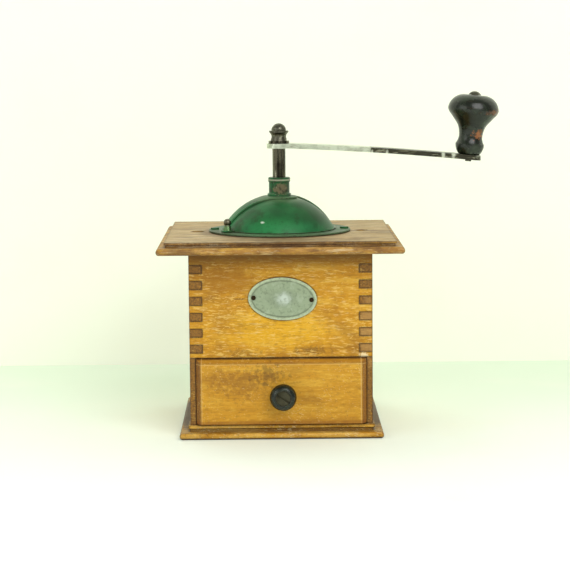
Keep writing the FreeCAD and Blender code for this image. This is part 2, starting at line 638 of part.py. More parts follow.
# Collar on the dome that guides the shaft, with the ring that holds the shutter up
keep(turned("dome_collar", [
    ("shaft_r + turn_gap", "retainer_top - retainer_t"),
    ("spigot_r", "retainer_top - retainer_t"),
    ("spigot_r", "dome_top"),
    ("collar_flare_r", "dome_top"),
    ("collar_flare_r", "dome_top + collar_flare_h * 0.6"),
    ("collar_r", "dome_top + collar_flare_h"),
    ("collar_r", "dome_top + collar_h"),
    ("collar_lip_r", "dome_top + collar_h + collar_lip_h * 0.2"),
    ("collar_lip_r", "dome_top + collar_h + collar_lip_h * 0.8"),
    ("collar_r", "dome_top + collar_h + collar_lip_h"),
    ("shaft_r + turn_gap", "dome_top + collar_h + collar_lip_h"),
]), "dome_collar")
keep(turned("shutter_retainer", [
    ("spigot_r", "retainer_top - retainer_t"),
    ("retainer_r", "retainer_top - retainer_t"),
    ("retainer_r", "retainer_top"),
    ("spigot_r", "retainer_top"),
]), "shutter_retainer")

# Turning shutter below the dome with a lug for its knob
cover = new_body("shutter_shell")
turn(cover, [
    ("spigot_r + shell_gap", "cover_top - shutter_t"),
    ("dome_flat_r", "cover_top - shutter_t"),
    (FOOT.format("cover_out", "cover_top"), "cover_top"),
    ("spigot_r + shell_gap", "cover_top"),
])
turn(cover, [
    (FOOT.format("cover_in", "cover_top - shutter_t"), "cover_top - shutter_t", "cover_in", "right"),
    (FOOT.format("cover_in", "cover_low"), "cover_low"),
    (FOOT.format("cover_out", "cover_low"), "cover_low", "cover_out", "left"),
    (FOOT.format("cover_out", "cover_top"), "cover_top"),
], "shutter_span_angle")
bind(cover, "Placement.Rotation.Angle", "shutter_start_angle")
lug_spot = ("lug_out * cos(lug_dir)", "lug_out * sin(lug_dir)", "cover_low")
lug = rod("shutter_lug", "lug_r", "shutter_t", lug_spot)
lug_hole = rod("shutter_lug_hole", "stud_pin_r", "shutter_t", lug_spot)
keep(cut("shutter", fuse("shutter_joined", [cover, lug]), [lug_hole]), "shutter")
stud = turned("stud_foot", [
    ("0", "0"),
    ("stud_pin_r", "0"),
    ("stud_pin_r", "shutter_t"),
    ("stud_foot_r", "shutter_t"),
    ("stud_neck_r", "shutter_t + stud_neck_h"),
    ("stud_neck_r", "shutter_t + stud_neck_h + stud_ball_r"),
    ("0", "shutter_t + stud_neck_h + stud_ball_r"),
])
stud_ball = doc.addObject("Part::Sphere", "stud_ball")
bind(stud_ball, "Radius", "stud_ball_r")
place(stud_ball, ("0", "0", "shutter_t + stud_neck_h + sqrt(stud_ball_r ^ 2 - stud_neck_r ^ 2)"))
keep(place(fuse("shutter_knob", [stud, stud_ball]), lug_spot), "shutter_knob")

# Hopper bowl that leads the beans to the burrs
bowl = turned("bowl_plain", [
    ("bowl_hole_r", "ring_top"),
    ("bowl_foot_r", "ring_top"),
    ("bowl_waist_r", "box_top"),
    ("bowl_mouth_r", "deck"),
    ("bowl_rim_r", "deck"),
    ("bowl_rim_r", "deck + bowl_t"),
    ("bowl_mouth_r - bowl_t", "deck + bowl_t"),
    ("bowl_waist_r - bowl_t", "box_top + bowl_t / 2"),
    ("bowl_foot_r - bowl_t", "ring_top + bowl_t"),
    ("bowl_hole_r", "ring_top + bowl_t"),
])
keep(cut("hopper_bowl", bowl, bowl_cuts), "hopper_bowl")

# Fixed burr with two ears between the legs of the bridge
ring = turned("ring_plain", [
    ("ring_low_r", "ring_low"),
    ("ring_r", "ring_low"),
    ("ring_r", "ring_top"),
    ("ring_top_r", "ring_top"),
])
notch(ring, [("ring_top_r - ring_tooth", "-tooth_w / 2"),
             ("ring_low_r + ring_tooth", "0"),
             ("ring_top_r - ring_tooth", "tooth_w / 2")], "ring_h", "ring_low", "teeth")
ears = []
ear_holes = []
strap_holes = []
ring_screws = []
RING = ("ring_head_r", "ring_head_t", "ring_screw_r", "ring_screw_len")
for word, side in SIDES:
    ears.append(block(f"ear_{word}", span(side, "(ring_low_r + ring_r) / 2", "strap_x"),
                      ("-ear_w / 2", "ear_w / 2"), ("ear_z - ear_h / 2", "ear_z + ear_h / 2")))
    way = RIGHT if side > 0 else LEFT
    ear_holes.append(rod(f"ear_{word}_hole", "ring_screw_r", "ring_screw_len - strap_t",
                         (f"{side} * (strap_x - ring_screw_len + strap_t)", "0", "ear_z"), *way))
    strap_holes.append(rod(f"strap_{word}_hole", "ring_screw_r", "strap_t",
                           (f"{side} * strap_x", "0", "ear_z"), *way))
    ring_screws.append(screw(f"ring_{word}_screw", RING,
                             (f"{side} * (strap_x + strap_t)", "0", "ear_z"), *way))
keep(cut("burr_ring", fuse("ring_joined", [ring] + ears), ear_holes), "burr_ring")
keep(group("burr_ring_screws", ring_screws), "burr_ring_screws")

# Bridge below the burrs that carries the adjusting screw
strap = new_body("strap_plain")
OUT = "strap_x + strap_t"
pad(strap, "XZ_Plane", [
    ("-strap_foot", "box_top"),
    ("-strap_foot", "box_top - strap_t"),
    (f"-({OUT})", "box_top - strap_t"),
    (f"-({OUT})", "strap_low"),
    (OUT, "strap_low"),
    (OUT, "box_top - strap_t"),
    ("strap_foot", "box_top - strap_t"),
    ("strap_foot", "box_top"),
    ("strap_x", "box_top"),
    ("strap_x", "strap_low + strap_t"),
    ("-strap_x", "strap_low + strap_t"),
    ("-strap_x", "box_top"),
], "strap_w", midplane=True)
strap_cuts = strap_holes + [rod("strap_bore", "adjust_r + turn_gap", "strap_t",
                                ("0", "0", "strap_low"))]
for word, side in SIDES:
    for end, sy in (("front", -1), ("back", 1)):
        strap_cuts.append(rod(f"foot_{word}_{end}_hole", "strap_screw_r", "strap_t",
                              (f"{side} * strap_screw_x", f"{sy} * strap_screw_y",
                               "box_top - strap_t")))
keep(cut("lower_bridge", strap, strap_cuts), "lower_bridge")

# Adjusting screw with a notched thumb head and a lock nut
adjust = turned("adjuster_screw", [
    ("0", "adjust_foot - adjust_head_t"),
    ("adjust_head_r", "adjust_foot - adjust_head_t"),
    ("adjust_head_r", "adjust_foot"),
    ("adjust_r", "adjust_foot"),
    ("adjust_r", "adjust_top"),
    ("0", "adjust_top"),
])
notch(adjust, [("adjust_head_r - knurl_r", "0"),
               ("adjust_head_r + knurl_r", "-2 * knurl_r"),
               ("adjust_head_r + knurl_r", "2 * knurl_r")],
      "adjust_head_t", "adjust_foot - adjust_head_t", "knurls")
keep(adjust, "adjuster_screw")
lock_low = ("0", "0", "adjust_foot + lock_nut_up")
keep(cut("adjuster_lock_nut", hexagon("lock_nut_plain", "lock_nut_r", "lock_nut_t", lock_low),
         [rod("lock_nut_bore", "adjust_r", "lock_nut_t", lock_low)]), "adjuster_lock_nut")

# Thrust ball below the shaft
ball = doc.addObject("Part::Sphere", "thrust_ball")
bind(ball, "Radius", "ball_r")
keep(place(ball, ("0", "0", "ball_z")), "thrust_ball")

# Drive shaft, turning burr and the pin through both
cross = ("-cross_pin_half", "0", "cone_low + cross_pin_up")
shaft = turned("shaft_plain", [
    ("0", "cone_low"),
    ("ball_r + ball_play", "cone_low"),
    ("ball_r + ball_play", "cone_low - socket_d"),
    ("shaft_r", "cone_low - socket_d"),
    ("shaft_r", "crank_z"),
    ("neck_r", "crank_z"),
    ("neck_r", "crank_z + neck_len"),
    ("0", "crank_z + neck_len"),
])
keep(cut("drive_shaft", shaft, [rod("shaft_cross", "cross_pin_r", "2 * cross_pin_half", cross,
                                    *RIGHT)]), "drive_shaft")
cone = turned("cone_plain", [
    ("shaft_r", "cone_low"),
    ("cone_low_r", "cone_low"),
    ("cone_top_r", "cone_low + cone_h"),
    ("shaft_r", "cone_low + cone_h"),
])
notch(cone, [("tooth_in", "0"),
             ("cone_low_r + tooth_w", "-tooth_w"),
             ("cone_low_r + tooth_w", "tooth_w")], "cone_h", "cone_low", "teeth")
notch(cone, [("flute_in", "0"),
             ("cone_low_r", "-flute_w"),
             ("cone_low_r", "flute_w")], "cone_h", "cone_low + cone_h / 3", "flutes")
keep(cut("burr_cone", cone, [rod("cone_cross", "cross_pin_r", "2 * cross_pin_half", cross,
                                 *RIGHT)]), "burr_cone")
keep(rod("cone_pin", "cross_pin_r", "2 * cross_pin_half", cross, *RIGHT), "cone_pin")

# Bowed crank arm with round ends, square to the leaning knob pin
bow = new_body("arm_side")
pad(bow, "XZ_Plane", [
    ("-arm_end_r", "crank_z"),
    ("arm_end_r", "crank_z", "arm_bow", "right"),
    ("arm_end", "crank_z - arm_drop"),
    ("arm_end", "hub_top - arm_drop", "arm_bow + arm_t", "left"),
    ("arm_end_r", "hub_top"),
    ("-arm_end_r", "hub_top"),
], "arm_w", midplane=True)
plan = new_body("arm_plan")
EDGE = "arm_w / 2"
TIP = "sqrt(arm_end_r ^ 2 - arm_w ^ 2 / 4)"
pad(plan, "XY_Plane", [
    (f"-{TIP}", f"-{EDGE}"),
    (f"arm_reach + {TIP}", f"-{EDGE}", "arm_end_r", "left"),
    (f"arm_reach + {TIP}", EDGE),
    (f"-{TIP}", EDGE, "arm_end_r", "left"),
], "arm_drop + 2 * arm_t", "crank_z - arm_drop - arm_t / 2")
arm = doc.addObject("Part::MultiCommon", "arm_plain")
arm.Shapes = [bow, plan]
LEAN = ((0, 1, 0), num("knob_lean"))
PIN_LOW = "arm_t + pin_out"
pin_spot = (f"arm_reach - ({PIN_LOW}) * sin(knob_lean)", "0", f"pin_z - ({PIN_LOW}) * cos(knob_lean)")
pin_hole = rod("arm_pin_hole", "pin_r", f"2 * ({PIN_LOW})", pin_spot, *LEAN)
bind(pin_hole, "Placement.Rotation.Angle", "knob_lean")
hub_hole = rod("arm_hub_hole", "neck_r", "arm_t", ("0", "0", "crank_z"))
keep(cut("crank_arm", arm, [pin_hole, hub_hole]), "crank_arm")

# Washer and cap nut on the shaft end
keep(turned("crank_washer", [
    ("neck_r", "hub_top"),
    ("washer_r", "hub_top"),
    ("washer_r", "hub_top + washer_t"),
    ("neck_r", "hub_top + washer_t"),
]), "crank_washer")
NUT = "hub_top + washer_t"
keep(turned("crank_nut", [
    ("neck_r", NUT),
    ("nut_foot_r", NUT),
    ("nut_waist_r", f"{NUT} + nut_waist_h", "nut_flare", "right"),
    ("nut_rim_r", f"{NUT} + nut_rim_h"),
    ("nut_rim_r", f"{NUT} + nut_rim_h + nut_rim_t"),
    ("nut_waist_r", f"{NUT} + nut_rim_h + nut_rim_t"),
    ("nut_waist_r", f"{NUT} + nut_neck_h", "nut_round", "left"),
    ("tip_r", f"{NUT} + nut_h"),
    ("0", f"{NUT} + nut_h"),
    ("0", "crank_z + neck_len"),
    ("neck_r", "crank_z + neck_len"),
]), "crank_nut")

# Turned knob on its leaning pin
knob = turned("crank_knob", [
    ("pin_r + turn_gap", "knob_lift"),
    ("knob_foot_r", "knob_lift", "knob_ring_r", "left"),
    ("knob_ring_r", "knob_h * 0.18", "knob_ring_r", "right"),
    ("knob_neck_r", "knob_h * 0.28", "knob_h * 0.4", "right"),
    ("knob_r * 0.55", "knob_h * 0.485", "knob_h * 0.5", "right"),
    ("knob_r * 0.72", "knob_h * 0.582", "knob_h", "right"),
    ("knob_r * 0.915", "knob_h * 0.684", "knob_r * 0.45", "left"),
    ("knob_r", "knob_belly_h + knob_lift", "knob_r * 0.62", "left"),
    ("knob_top_r", "knob_h + knob_lift"),
    ("pin_r + turn_gap", "knob_h + knob_lift"),
])
place(knob, ("arm_reach", "0", "pin_z"), *LEAN)
bind(knob, "Placement.Rotation.Angle", "knob_lean")
keep(knob, "crank_knob")
pin = turned("knob_pin", [
    ("0", f"-({PIN_LOW})"),
    ("pin_r", f"-({PIN_LOW})"),
    ("pin_r", "knob_h + 2 * knob_lift"),
    ("pin_head_r", "knob_h + 2 * knob_lift", "pin_head_r * 1.1", "left"),
    ("tip_r", "knob_h + 2 * knob_lift + pin_head_h"),
    ("0", "knob_h + 2 * knob_lift + pin_head_h"),
])
place(pin, ("arm_reach", "0", "pin_z"), *LEAN)
bind(pin, "Placement.Rotation.Angle", "knob_lean")
keep(pin, "knob_pin")

# Drawer front with three bevelled edges
face = new_body("drawer_face_plain")
DRAW_LOW = "base_t + drawer_gap"
DRAW_TOP = "front_low - drawer_gap"
slab = pad(face, "XZ_Plane", [
    ("-drawer_half", DRAW_LOW),
    ("drawer_half", DRAW_LOW),
    ("drawer_half", DRAW_TOP),
    ("-drawer_half", DRAW_TOP),
], "drawer_front_t", "-drawer_y")
doc.recompute()
rim = [f"Edge{i}" for i, e in enumerate(slab.Shape.Edges, 1)
       if max(abs(v.Y - num("drawer_face")) for v in e.Vertexes) < 1e-6
       and max(v.Z for v in e.Vertexes) > num(DRAW_TOP) - 1e-6]
bevel = face.newObject("PartDesign::Chamfer", "drawer_bevel")
bevel.Base = (slab, rim)
bevel.ChamferType = "Two distances"
bind(bevel, "Size", "bevel_w")
bind(bevel, "Size2", "bevel_d")
pull_hole = rod("drawer_pull_hole", "pull_screw_r", "drawer_front_t",
                ("pull_x", "drawer_face", "pull_z"), (1, 0, 0), -90)
front_cuts = [pull_hole]
nails = []
nail_z = (("low", "drawer_low + drawer_side_h / 4"), ("high", "drawer_low + drawer_side_h * 3 / 4"))
side_cuts = {"left": [], "right": []}
back_cuts = []
for word, side in SIDES:
    way = RIGHT if side > 0 else LEFT
    for level, z in nail_z:
        start = (f"{side} * (drawer_x - nail_len)", "drawer_end - drawer_side_t / 2", z)
        nails.append(rod(f"nail_{word}_{level}", "nail_r", "nail_len", start, *way))
        tools = [rod(f"nail_{word}_{level}_{use}", "nail_r", "nail_len", start, *way)
                 for use in ("side", "back")]
        side_cuts[word].append(tools[0])
        back_cuts.append(tools[1])
keep(cut("drawer_front", face, front_cuts), "drawer_front")

# Drawer sides, back and floor, nailed at the back corners
drawer_z = ("drawer_low", "drawer_low + drawer_side_h")
for word, side in SIDES:
    plain = block(f"drawer_{word}_plain", span(side, "drawer_x - drawer_side_t", "drawer_x"),
                  ("drawer_y", "drawer_end"), drawer_z)
    keep(cut(f"drawer_{word}_side", plain, side_cuts[word]), f"drawer_{word}_side")
inside = ("-(drawer_x - drawer_side_t)", "drawer_x - drawer_side_t")
back = block("drawer_back_plain", inside, ("drawer_end - drawer_side_t", "drawer_end"), drawer_z)
keep(cut("drawer_back", back, back_cuts), "drawer_back")
floor = block("drawer_bottom", inside, ("drawer_y", "drawer_end - drawer_side_t"),
              ("drawer_low + drawer_floor_up", "drawer_low + drawer_floor_up + drawer_floor_t"))
keep(floor, "drawer_bottom")
keep(group("drawer_nails", nails), "drawer_nails")

# Drawer knob with its slotted screw and the nut behind the drawer front
pull = turned("drawer_knob", [
    ("pull_screw_r", "0"),
    ("pull_neck_r", "0"),
    ("pull_neck_r", "pull_len * 0.22", "pull_len", "right"),
    ("pull_r", "pull_len * 0.58", "pull_r * 0.62", "left"),
    ("pull_head_r + rebate_gap + slot_w", "pull_len"),
    ("pull_head_r + rebate_gap", "pull_len"),
    ("pull_head_r + rebate_gap", "pull_len - pull_head_t"),
    ("pull_screw_r", "pull_len - pull_head_t"),
])
place(pull, ("pull_x", "drawer_face", "pull_z"), *FRONT)
keep(pull, "drawer_knob")
PULL = ("pull_head_r", "pull_head_t", "pull_screw_r",
        "pull_len - pull_head_t + drawer_front_t + pull_nut_t")
keep(screw("drawer_knob_screw", PULL, ("pull_x", "drawer_face - pull_len + pull_head_t", "pull_z"),
           *FRONT, slot="slot_turn"), "drawer_knob_screw")
nut_spot = ("pull_x", "drawer_y", "pull_z")
keep(cut("drawer_knob_nut", hexagon("pull_nut_plain", "pull_nut_r", "pull_nut_t", nut_spot,
                                    (1, 0, 0), -90),
         [rod("pull_nut_bore", "pull_screw_r", "pull_nut_t", nut_spot, (1, 0, 0), -90)]),
     "drawer_knob_nut")

doc.recompute()

# Every node is checked before its file is written
for obj in doc.Objects:
    if "Invalid" in obj.State or "Error" in obj.State:
        raise RuntimeError(f"{obj.Name} is not sound: {obj.State}")
os.makedirs("parts", exist_ok=True)
for label, obj in NODES.items():
    shape = obj.Shape
    if shape.isNull() or not shape.isValid() or not shape.Solids:
        raise RuntimeError(f"{label} has no sound solid")
    shape.exportStep(f"parts/{label}.step")
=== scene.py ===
"""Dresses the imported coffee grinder: beech case, enamelled hopper, plated crank and iron burrs."""

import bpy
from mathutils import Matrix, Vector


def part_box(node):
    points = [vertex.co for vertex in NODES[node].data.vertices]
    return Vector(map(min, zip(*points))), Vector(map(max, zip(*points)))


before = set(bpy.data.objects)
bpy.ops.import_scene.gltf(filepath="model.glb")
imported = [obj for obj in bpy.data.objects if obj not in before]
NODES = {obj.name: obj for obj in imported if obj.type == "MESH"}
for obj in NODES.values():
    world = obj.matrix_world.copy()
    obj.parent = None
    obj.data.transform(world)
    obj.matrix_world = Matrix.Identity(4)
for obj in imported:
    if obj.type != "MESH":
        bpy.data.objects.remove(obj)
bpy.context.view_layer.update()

import math

import bpy
from mathutils import Matrix, Vector

bl_info = {
    "name": "Box coffee grinder",
    "version": (1, 0, 0),
    "blender": (4, 5, 0),
    "location": "3D View > Sidebar > Grinder",
    "description": "Finishes and stage for a hand crank coffee grinder",
    "category": "Object",
}

MM = 0.001
AXES = {"x": 0, "y": 1, "z": 2}


def linear(code):
    """sRGB hex to the linear colour that shaders take."""
    channels = [int(code[i:i + 2], 16) / 255 for i in (1, 3, 5)]
    return tuple(c / 12.92 if c <= 0.04045 else ((c + 0.055) / 1.055) ** 2.4
                 for c in channels) + (1.0,)


def hue(name, code, words):
    """Colour setting of the panel."""
    return bpy.props.FloatVectorProperty(name=name, description=words, subtype="COLOR", size=4,
                                         min=0, max=1, default=linear(code))


class GrinderFinish(bpy.types.PropertyGroup):
    """Colours and pattern sizes of the finishes."""

    beech: hue("Waxed beech", "#c68a12", "Plain tone of the front and the drawer")
    beech_light: hue("Light beech", "#e3b644", "Pale streaks of the grain")
    beech_dark: hue("Dark beech", "#7f5119", "Dark flecks and stains of the grain")
    end_grain: hue("End grain", "#8a6024", "Ends of the boards")
    faded: hue("Faded beech", "#b39a6c", "Dry upper face of the top board")
    # Grime: old dirt, and also the colour of painted shade in corners, coves, round the badge and
    # the flange, and along the foot of the base
    grime_and_shade: hue("Grime", "#4a2f16", "Old dirt in corners and coves")
    bare: hue("Bare beech", "#c9a877", "Unwaxed wood inside the drawer")
    enamel: hue("Green enamel", "#1a5a30", "Paint of the dome and the shutter")
    # Also gives the paler band at the top of the dome, which is dust with a painted sheen
    dust_and_sheen: hue("Dusty enamel", "#5f7a56", "Chalky paint on rims and edges")
    lacquer: hue("Black lacquer", "#10170c", "Paint of both knobs")
    nickel: hue("Nickel plate", "#d6ddc8", "Bright plating of the arm")
    steel: hue("Aged steel", "#5d594d", "Brown steel of the shaft and the screws")
    zinc: hue("Zinc sheet", "#9cab8e", "Oval badge")
    iron: hue("Cast iron", "#4b4a47", "Burrs and bridge")
    # Real flecks are about half as wide and would be too fine to show
    fleck: bpy.props.FloatProperty(name="Fleck", description="Width of one streak of the grain",
                                   default=1.2 * MM, min=0.1 * MM, unit="LENGTH")
    figure: bpy.props.FloatProperty(name="Figure", description="Width of the broad grain bands",
                                    default=6 * MM, min=1 * MM, unit="LENGTH")
    edge: bpy.props.FloatProperty(name="Worn edge", description="Rounding of the board edges",
                                  default=0.45 * MM, min=0, unit="LENGTH")


class GrinderStage(bpy.types.PropertyGroup):
    """Camera, lamps and surroundings."""

    eye: bpy.props.FloatVectorProperty(name="Camera", description="Place of the camera",
                                       default=(-0.006385, -1.29907, 0.2571),
                                       subtype="TRANSLATION", unit="LENGTH")
    pitch: bpy.props.FloatProperty(name="Pitch", description="Downward tilt of the camera",
                                   default=0.1251, subtype="ANGLE", unit="ROTATION")
    yaw: bpy.props.FloatProperty(name="Yaw", description="Turn of the camera to the right",
                                 default=0.0075, subtype="ANGLE", unit="ROTATION")
    roll: bpy.props.FloatProperty(name="Roll", description="Roll of the camera",
                                  default=-0.0087, subtype="ANGLE", unit="ROTATION")
    lens: bpy.props.FloatProperty(name="Lens", description="Focal length in millimetres",
                                  default=120.9, min=10)
    wall_y: bpy.props.FloatProperty(name="Wall", description="Distance of the wall behind",
                                    default=0.237, unit="LENGTH")
    floor: hue("Floor", "#fbfff9", "Pale floor")
    wall: hue("Wall", "#f8fbec", "Pale wall")
    key: bpy.props.FloatProperty(name="Key", description="Power of the main lamp",
                                 default=17, min=0, subtype="POWER", unit="POWER")
    fill: bpy.props.FloatProperty(name="Fill", description="Power of the side lamp",
                                  default=5.5, min=0, subtype="POWER", unit="POWER")
    back: bpy.props.FloatProperty(name="Back", description="Power of the lamp behind",
                                  default=4, min=0, subtype="POWER", unit="POWER")
    sky: bpy.props.FloatProperty(name="Sky", description="Strength of the light all round",
                                 default=0.36, min=0)


def add(tree, kind, inputs=None, **settings):
    """Adds one node, sets it up and joins or fills its inputs."""
    node = tree.nodes.new("ShaderNode" + kind)
    for name, value in settings.items():
        setattr(node, name, value)
    for key, value in (inputs or {}).items():
        if isinstance(value, bpy.types.NodeSocket):
            tree.links.new(value, node.inputs[key])
        else:
            node.inputs[key].default_value = value
    return node


def surface(name, **constants):
    """New material: its tree, its place in metres and its shader with the constant sockets set."""
    material = bpy.data.materials.new(name)
    material.use_nodes = True
    tree = material.node_tree
    shader = tree.nodes["Principled BSDF"]
    for socket, value in constants.items():
        shader.inputs[socket.replace("_", " ")].default_value = value
    return material, tree, add(tree, "TexCoord").outputs["Object"], shader


def mottle(tree, place, size, stretch=(1, 1, 1), turn=(0, 0, 0), detail=4.0, rough=0.55):
    """Cloudy pattern whose patches are about one size across, drawn out along the stretch."""
    mapped = add(tree, "Mapping", {"Vector": place, "Rotation": turn, "Scale": stretch},
                 vector_type="TEXTURE")
    noise = add(tree, "TexNoise", {"Vector": mapped.outputs[0], "Scale": 1 / size,
                                   "Detail": detail, "Roughness": rough})
    return noise.outputs["Fac"]


def coat(tree, under, colour, mask, start, end, strength=1.0):
    """Lays a colour over another where a mask rises from start to end."""
    cover = add(tree, "MapRange", {"Value": mask, "From Min": start, "From Max": end,
                                   "To Max": strength}, interpolation_type="SMOOTHSTEP")
    mix = add(tree, "Mix", {"Factor": cover.outputs[0], 6: under, 7: colour}, data_type="RGBA")
    return mix.outputs[2]


def spot(tree, place, centre, reach, ragged, crumb, soft, turn):
    """Mask of one patch with a ragged edge: one in its middle, nought outside its reach."""
    local = add(tree, "Mapping", {"Vector": place, "Location": centre, "Rotation": turn,
                                  "Scale": reach}, vector_type="TEXTURE")
    length = add(tree, "VectorMath", {0: local.outputs[0]}, operation="LENGTH")
    shake = mottle(tree, place, crumb, detail=5, rough=0.65)
    push = add(tree, "Math", {0: shake, 1: 2 * ragged, 2: -ragged}, operation="MULTIPLY_ADD")
    total = add(tree, "Math", {0: length.outputs["Value"], 1: push.outputs[0]}, operation="ADD")
    return add(tree, "MapRange", {"Value": total.outputs[0], "From Min": 1.0, "From Max": 1 - soft},
               interpolation_type="SMOOTHSTEP").outputs[0]


def height(tree, place, axis):
    """Coordinate of the surface along one axis."""
    return add(tree, "SeparateXYZ", {0: place}).outputs[AXES[axis]]


def facing(tree, axis):
    """How squarely the true surface faces along an axis, without its sign."""
    normal = add(tree, "NewGeometry").outputs["True Normal"]
    part = add(tree, "SeparateXYZ", {0: normal}).outputs[AXES[axis]]
    return add(tree, "Math", {0: part}, operation="ABSOLUTE").outputs[0]


def crevice(tree, reach):
    """Mask of corners that the light hardly reaches."""
    shade = add(tree, "AmbientOcclusion", {"Distance": reach}, samples=6)
    return add(tree, "Math", {0: 1.0, 1: shade.outputs["AO"]}, operation="SUBTRACT").outputs[0]


def rubbed(tree, radius):
    """Mask of the convex edges that hands and cloths rub."""
    soft = add(tree, "Bevel", {"Radius": radius}, samples=4)
    true = add(tree, "NewGeometry").outputs["Normal"]
    match = add(tree, "VectorMath", {0: soft.outputs[0], 1: true}, operation="DOT_PRODUCT")
    return add(tree, "Math", {0: 1.0, 1: match.outputs["Value"]}, operation="SUBTRACT").outputs[0]


def relief(tree, shader, pattern, depth):
    """Turns a pattern into a fine unevenness of the surface."""
    bump = add(tree, "Bump", {"Height": pattern, "Distance": depth, "Strength": 1.0})
    tree.links.new(bump.outputs[0], shader.inputs["Normal"])


def gloss(tree, shader, pattern, low, high):
    """Roughness that wanders between two values with a pattern."""
    wander = add(tree, "MapRange", {"Value": pattern, "To Min": low, "To Max": high})
    tree.links.new(wander.outputs[0], shader.inputs["Roughness"])


def paint(shader, tree, colour):
    """Joins a finished colour to the shader."""
    tree.links.new(colour, shader.inputs["Base Color"])


# Waxed beech: fine straight grain of amber and brown, dark worn edges, and dirt with painted shade
# in the corners
def beech(look, name, along="x", tone=None, edges=0.8, layers=None, roughness=(0.36, 0.6),
          rim=1.5 * MM, bold=1.0, under=None):
    """Beech with its grain along one axis, over tints and below layers of stain or wear."""
    material, tree, place, shader = surface(name, Specular_IOR_Level=0.35)
    long = [1, 1, 1]
    long[AXES[along]] = 11
    short = [1, 1, 1]
    short[AXES[along]] = 4
    band = mottle(tree, place, look.figure, long, detail=6, rough=0.7)
    fine = mottle(tree, place, look.fleck, short, detail=3, rough=0.65)
    cloud = mottle(tree, place, 30 * MM, detail=6)
    speck = mottle(tree, place, 1.3 * MM, detail=3, rough=0.7)
    colour = tone or look.beech
    for layer in under or ():
        colour = layer(tree, place, colour)
    colour = coat(tree, colour, look.beech_light, band, 0.47, 0.68, 0.7 * bold)
    colour = coat(tree, colour, look.beech_dark, band, 0.5, 0.3, 0.4 * bold)
    colour = coat(tree, colour, look.beech_dark, fine, 0.52, 0.7, 0.42 * bold)
    colour = coat(tree, colour, look.beech_light, fine, 0.47, 0.31, 0.6 * bold)
    colour = coat(tree, colour, look.beech_dark, cloud, 0.5, 0.72, 0.5 * bold)
    colour = coat(tree, colour, look.grime_and_shade, speck, 0.6, 0.76, 0.4 * bold)
    sawn = coat(tree, look.end_grain, look.grime_and_shade, speck, 0.48, 0.66, 0.6)
    sawn = coat(tree, sawn, look.beech, speck, 0.46, 0.3, 0.55)
    colour = coat(tree, colour, sawn, facing(tree, along), 0.6, 0.8)
    for layer in layers or ():
        colour = layer(tree, place, colour)
    # Dirt and painted shade: darker where the light hardly reaches, in corners and between boards
    colour = coat(tree, colour, look.grime_and_shade, crevice(tree, 4 * MM), 0.3, 0.8, 0.85)
    colour = coat(tree, colour, linear("#33200d"), rubbed(tree, rim), 0.012, 0.08, edges)
    paint(shader, tree, colour)
    gloss(tree, shader, cloud, *roughness)
    relief(tree, shader, fine, 0.06 * MM)
    return material


def scratches(colour, strength, slope=0.15, amount=0.82, run=5, size=0.75 * MM):
    """Layer: short pale scratches that come in clusters."""
    def layer(tree, place, under):
        line = mottle(tree, place, size, (run, 1, 1), (0, slope, 0), detail=2)
        where = mottle(tree, place, 17 * MM, detail=3)
        both = add(tree, "Math", {0: where, 1: 0.4, 2: line}, operation="MULTIPLY_ADD")
        return coat(tree, under, colour, both.outputs[0], amount, amount + 0.06, strength)
    return layer


def stain(colour, centre, reach, strength, ragged=0.8, crumb=3 * MM, soft=0.9, turn=(0, 0, 0)):
    """Layer: one blot of a colour."""
    def layer(tree, place, under):
        mask = spot(tree, place, centre, reach, ragged, crumb, soft, turn)
        return coat(tree, under, colour, mask, 0.0, 1.0, strength)
    return layer


def band_of(colour, low, high, strength, axis="z", blur=1.5 * MM):
    """Layer: a level band of a colour between two heights."""
    def layer(tree, place, under):
        value = height(tree, place, axis)
        rise = add(tree, "MapRange", {"Value": value, "From Min": low - blur,
                                      "From Max": low + blur}, interpolation_type="SMOOTHSTEP")
        fall = add(tree, "MapRange", {"Value": value, "From Min": high + blur,
                                      "From Max": high - blur}, interpolation_type="SMOOTHSTEP")
        both = add(tree, "Math", {0: rise.outputs[0], 1: fall.outputs[0]}, operation="MULTIPLY")
        return coat(tree, under, colour, both.outputs[0], 0.0, 1.0, strength)
    return layer


def toward(colour, axis, start, end, strength):
    """Layer: a colour on the faces that look along an axis."""
    def layer(tree, place, under):
        return coat(tree, under, colour, facing(tree, axis), start, end, strength)
    return layer


def blotches(colour, size, start, end, strength, stretch=(1, 1, 1)):
    """Layer: scattered cloudy blots of a colour."""
    def layer(tree, place, under):
        mask = mottle(tree, place, size, stretch, detail=6, rough=0.62)
        return coat(tree, under, colour, mask, start, end, strength)
    return layer


# Stoved green enamel on pressed sheet: deep green with dull dirt and painted shade in its hollows,
# rubbed to grey on its edges
def enamel(look, name, chalk, layers=None, roughness=(0.3, 0.46)):
    """Old green enamel, with more or less chalk on it."""
    material, tree, place, shader = surface(name, Specular_IOR_Level=0.22)
    cloud = mottle(tree, place, 22 * MM, detail=6)
    speck = mottle(tree, place, 1.6 * MM, detail=4, rough=0.7)
    colour = coat(tree, look.enamel, linear("#2a7f46"), cloud, 0.45, 0.66, 0.8)
    colour = coat(tree, colour, linear("#123a22"), cloud, 0.48, 0.3, 0.8)
    colour = coat(tree, colour, linear("#123a1e"), speck, 0.58, 0.74, 0.5)
    colour = coat(tree, colour, look.dust_and_sheen, speck, 0.62 - 0.3 * chalk, 0.8 - 0.1 * chalk, chalk)
    for layer in layers or ():
        colour = layer(tree, place, colour)
    # Painted shade: darker in hollows and corners where the light hardly reaches
    colour = coat(tree, colour, linear("#2b2a1a"), crevice(tree, 3 * MM), 0.35, 0.85, 0.7)
    colour = coat(tree, colour, linear("#6f7a5c"), rubbed(tree, 0.5 * MM), 0.05, 0.25, 0.7)
    paint(shader, tree, colour)
    gloss(tree, shader, cloud, *roughness)
    relief(tree, shader, cloud, 0.2 * MM)
    return material


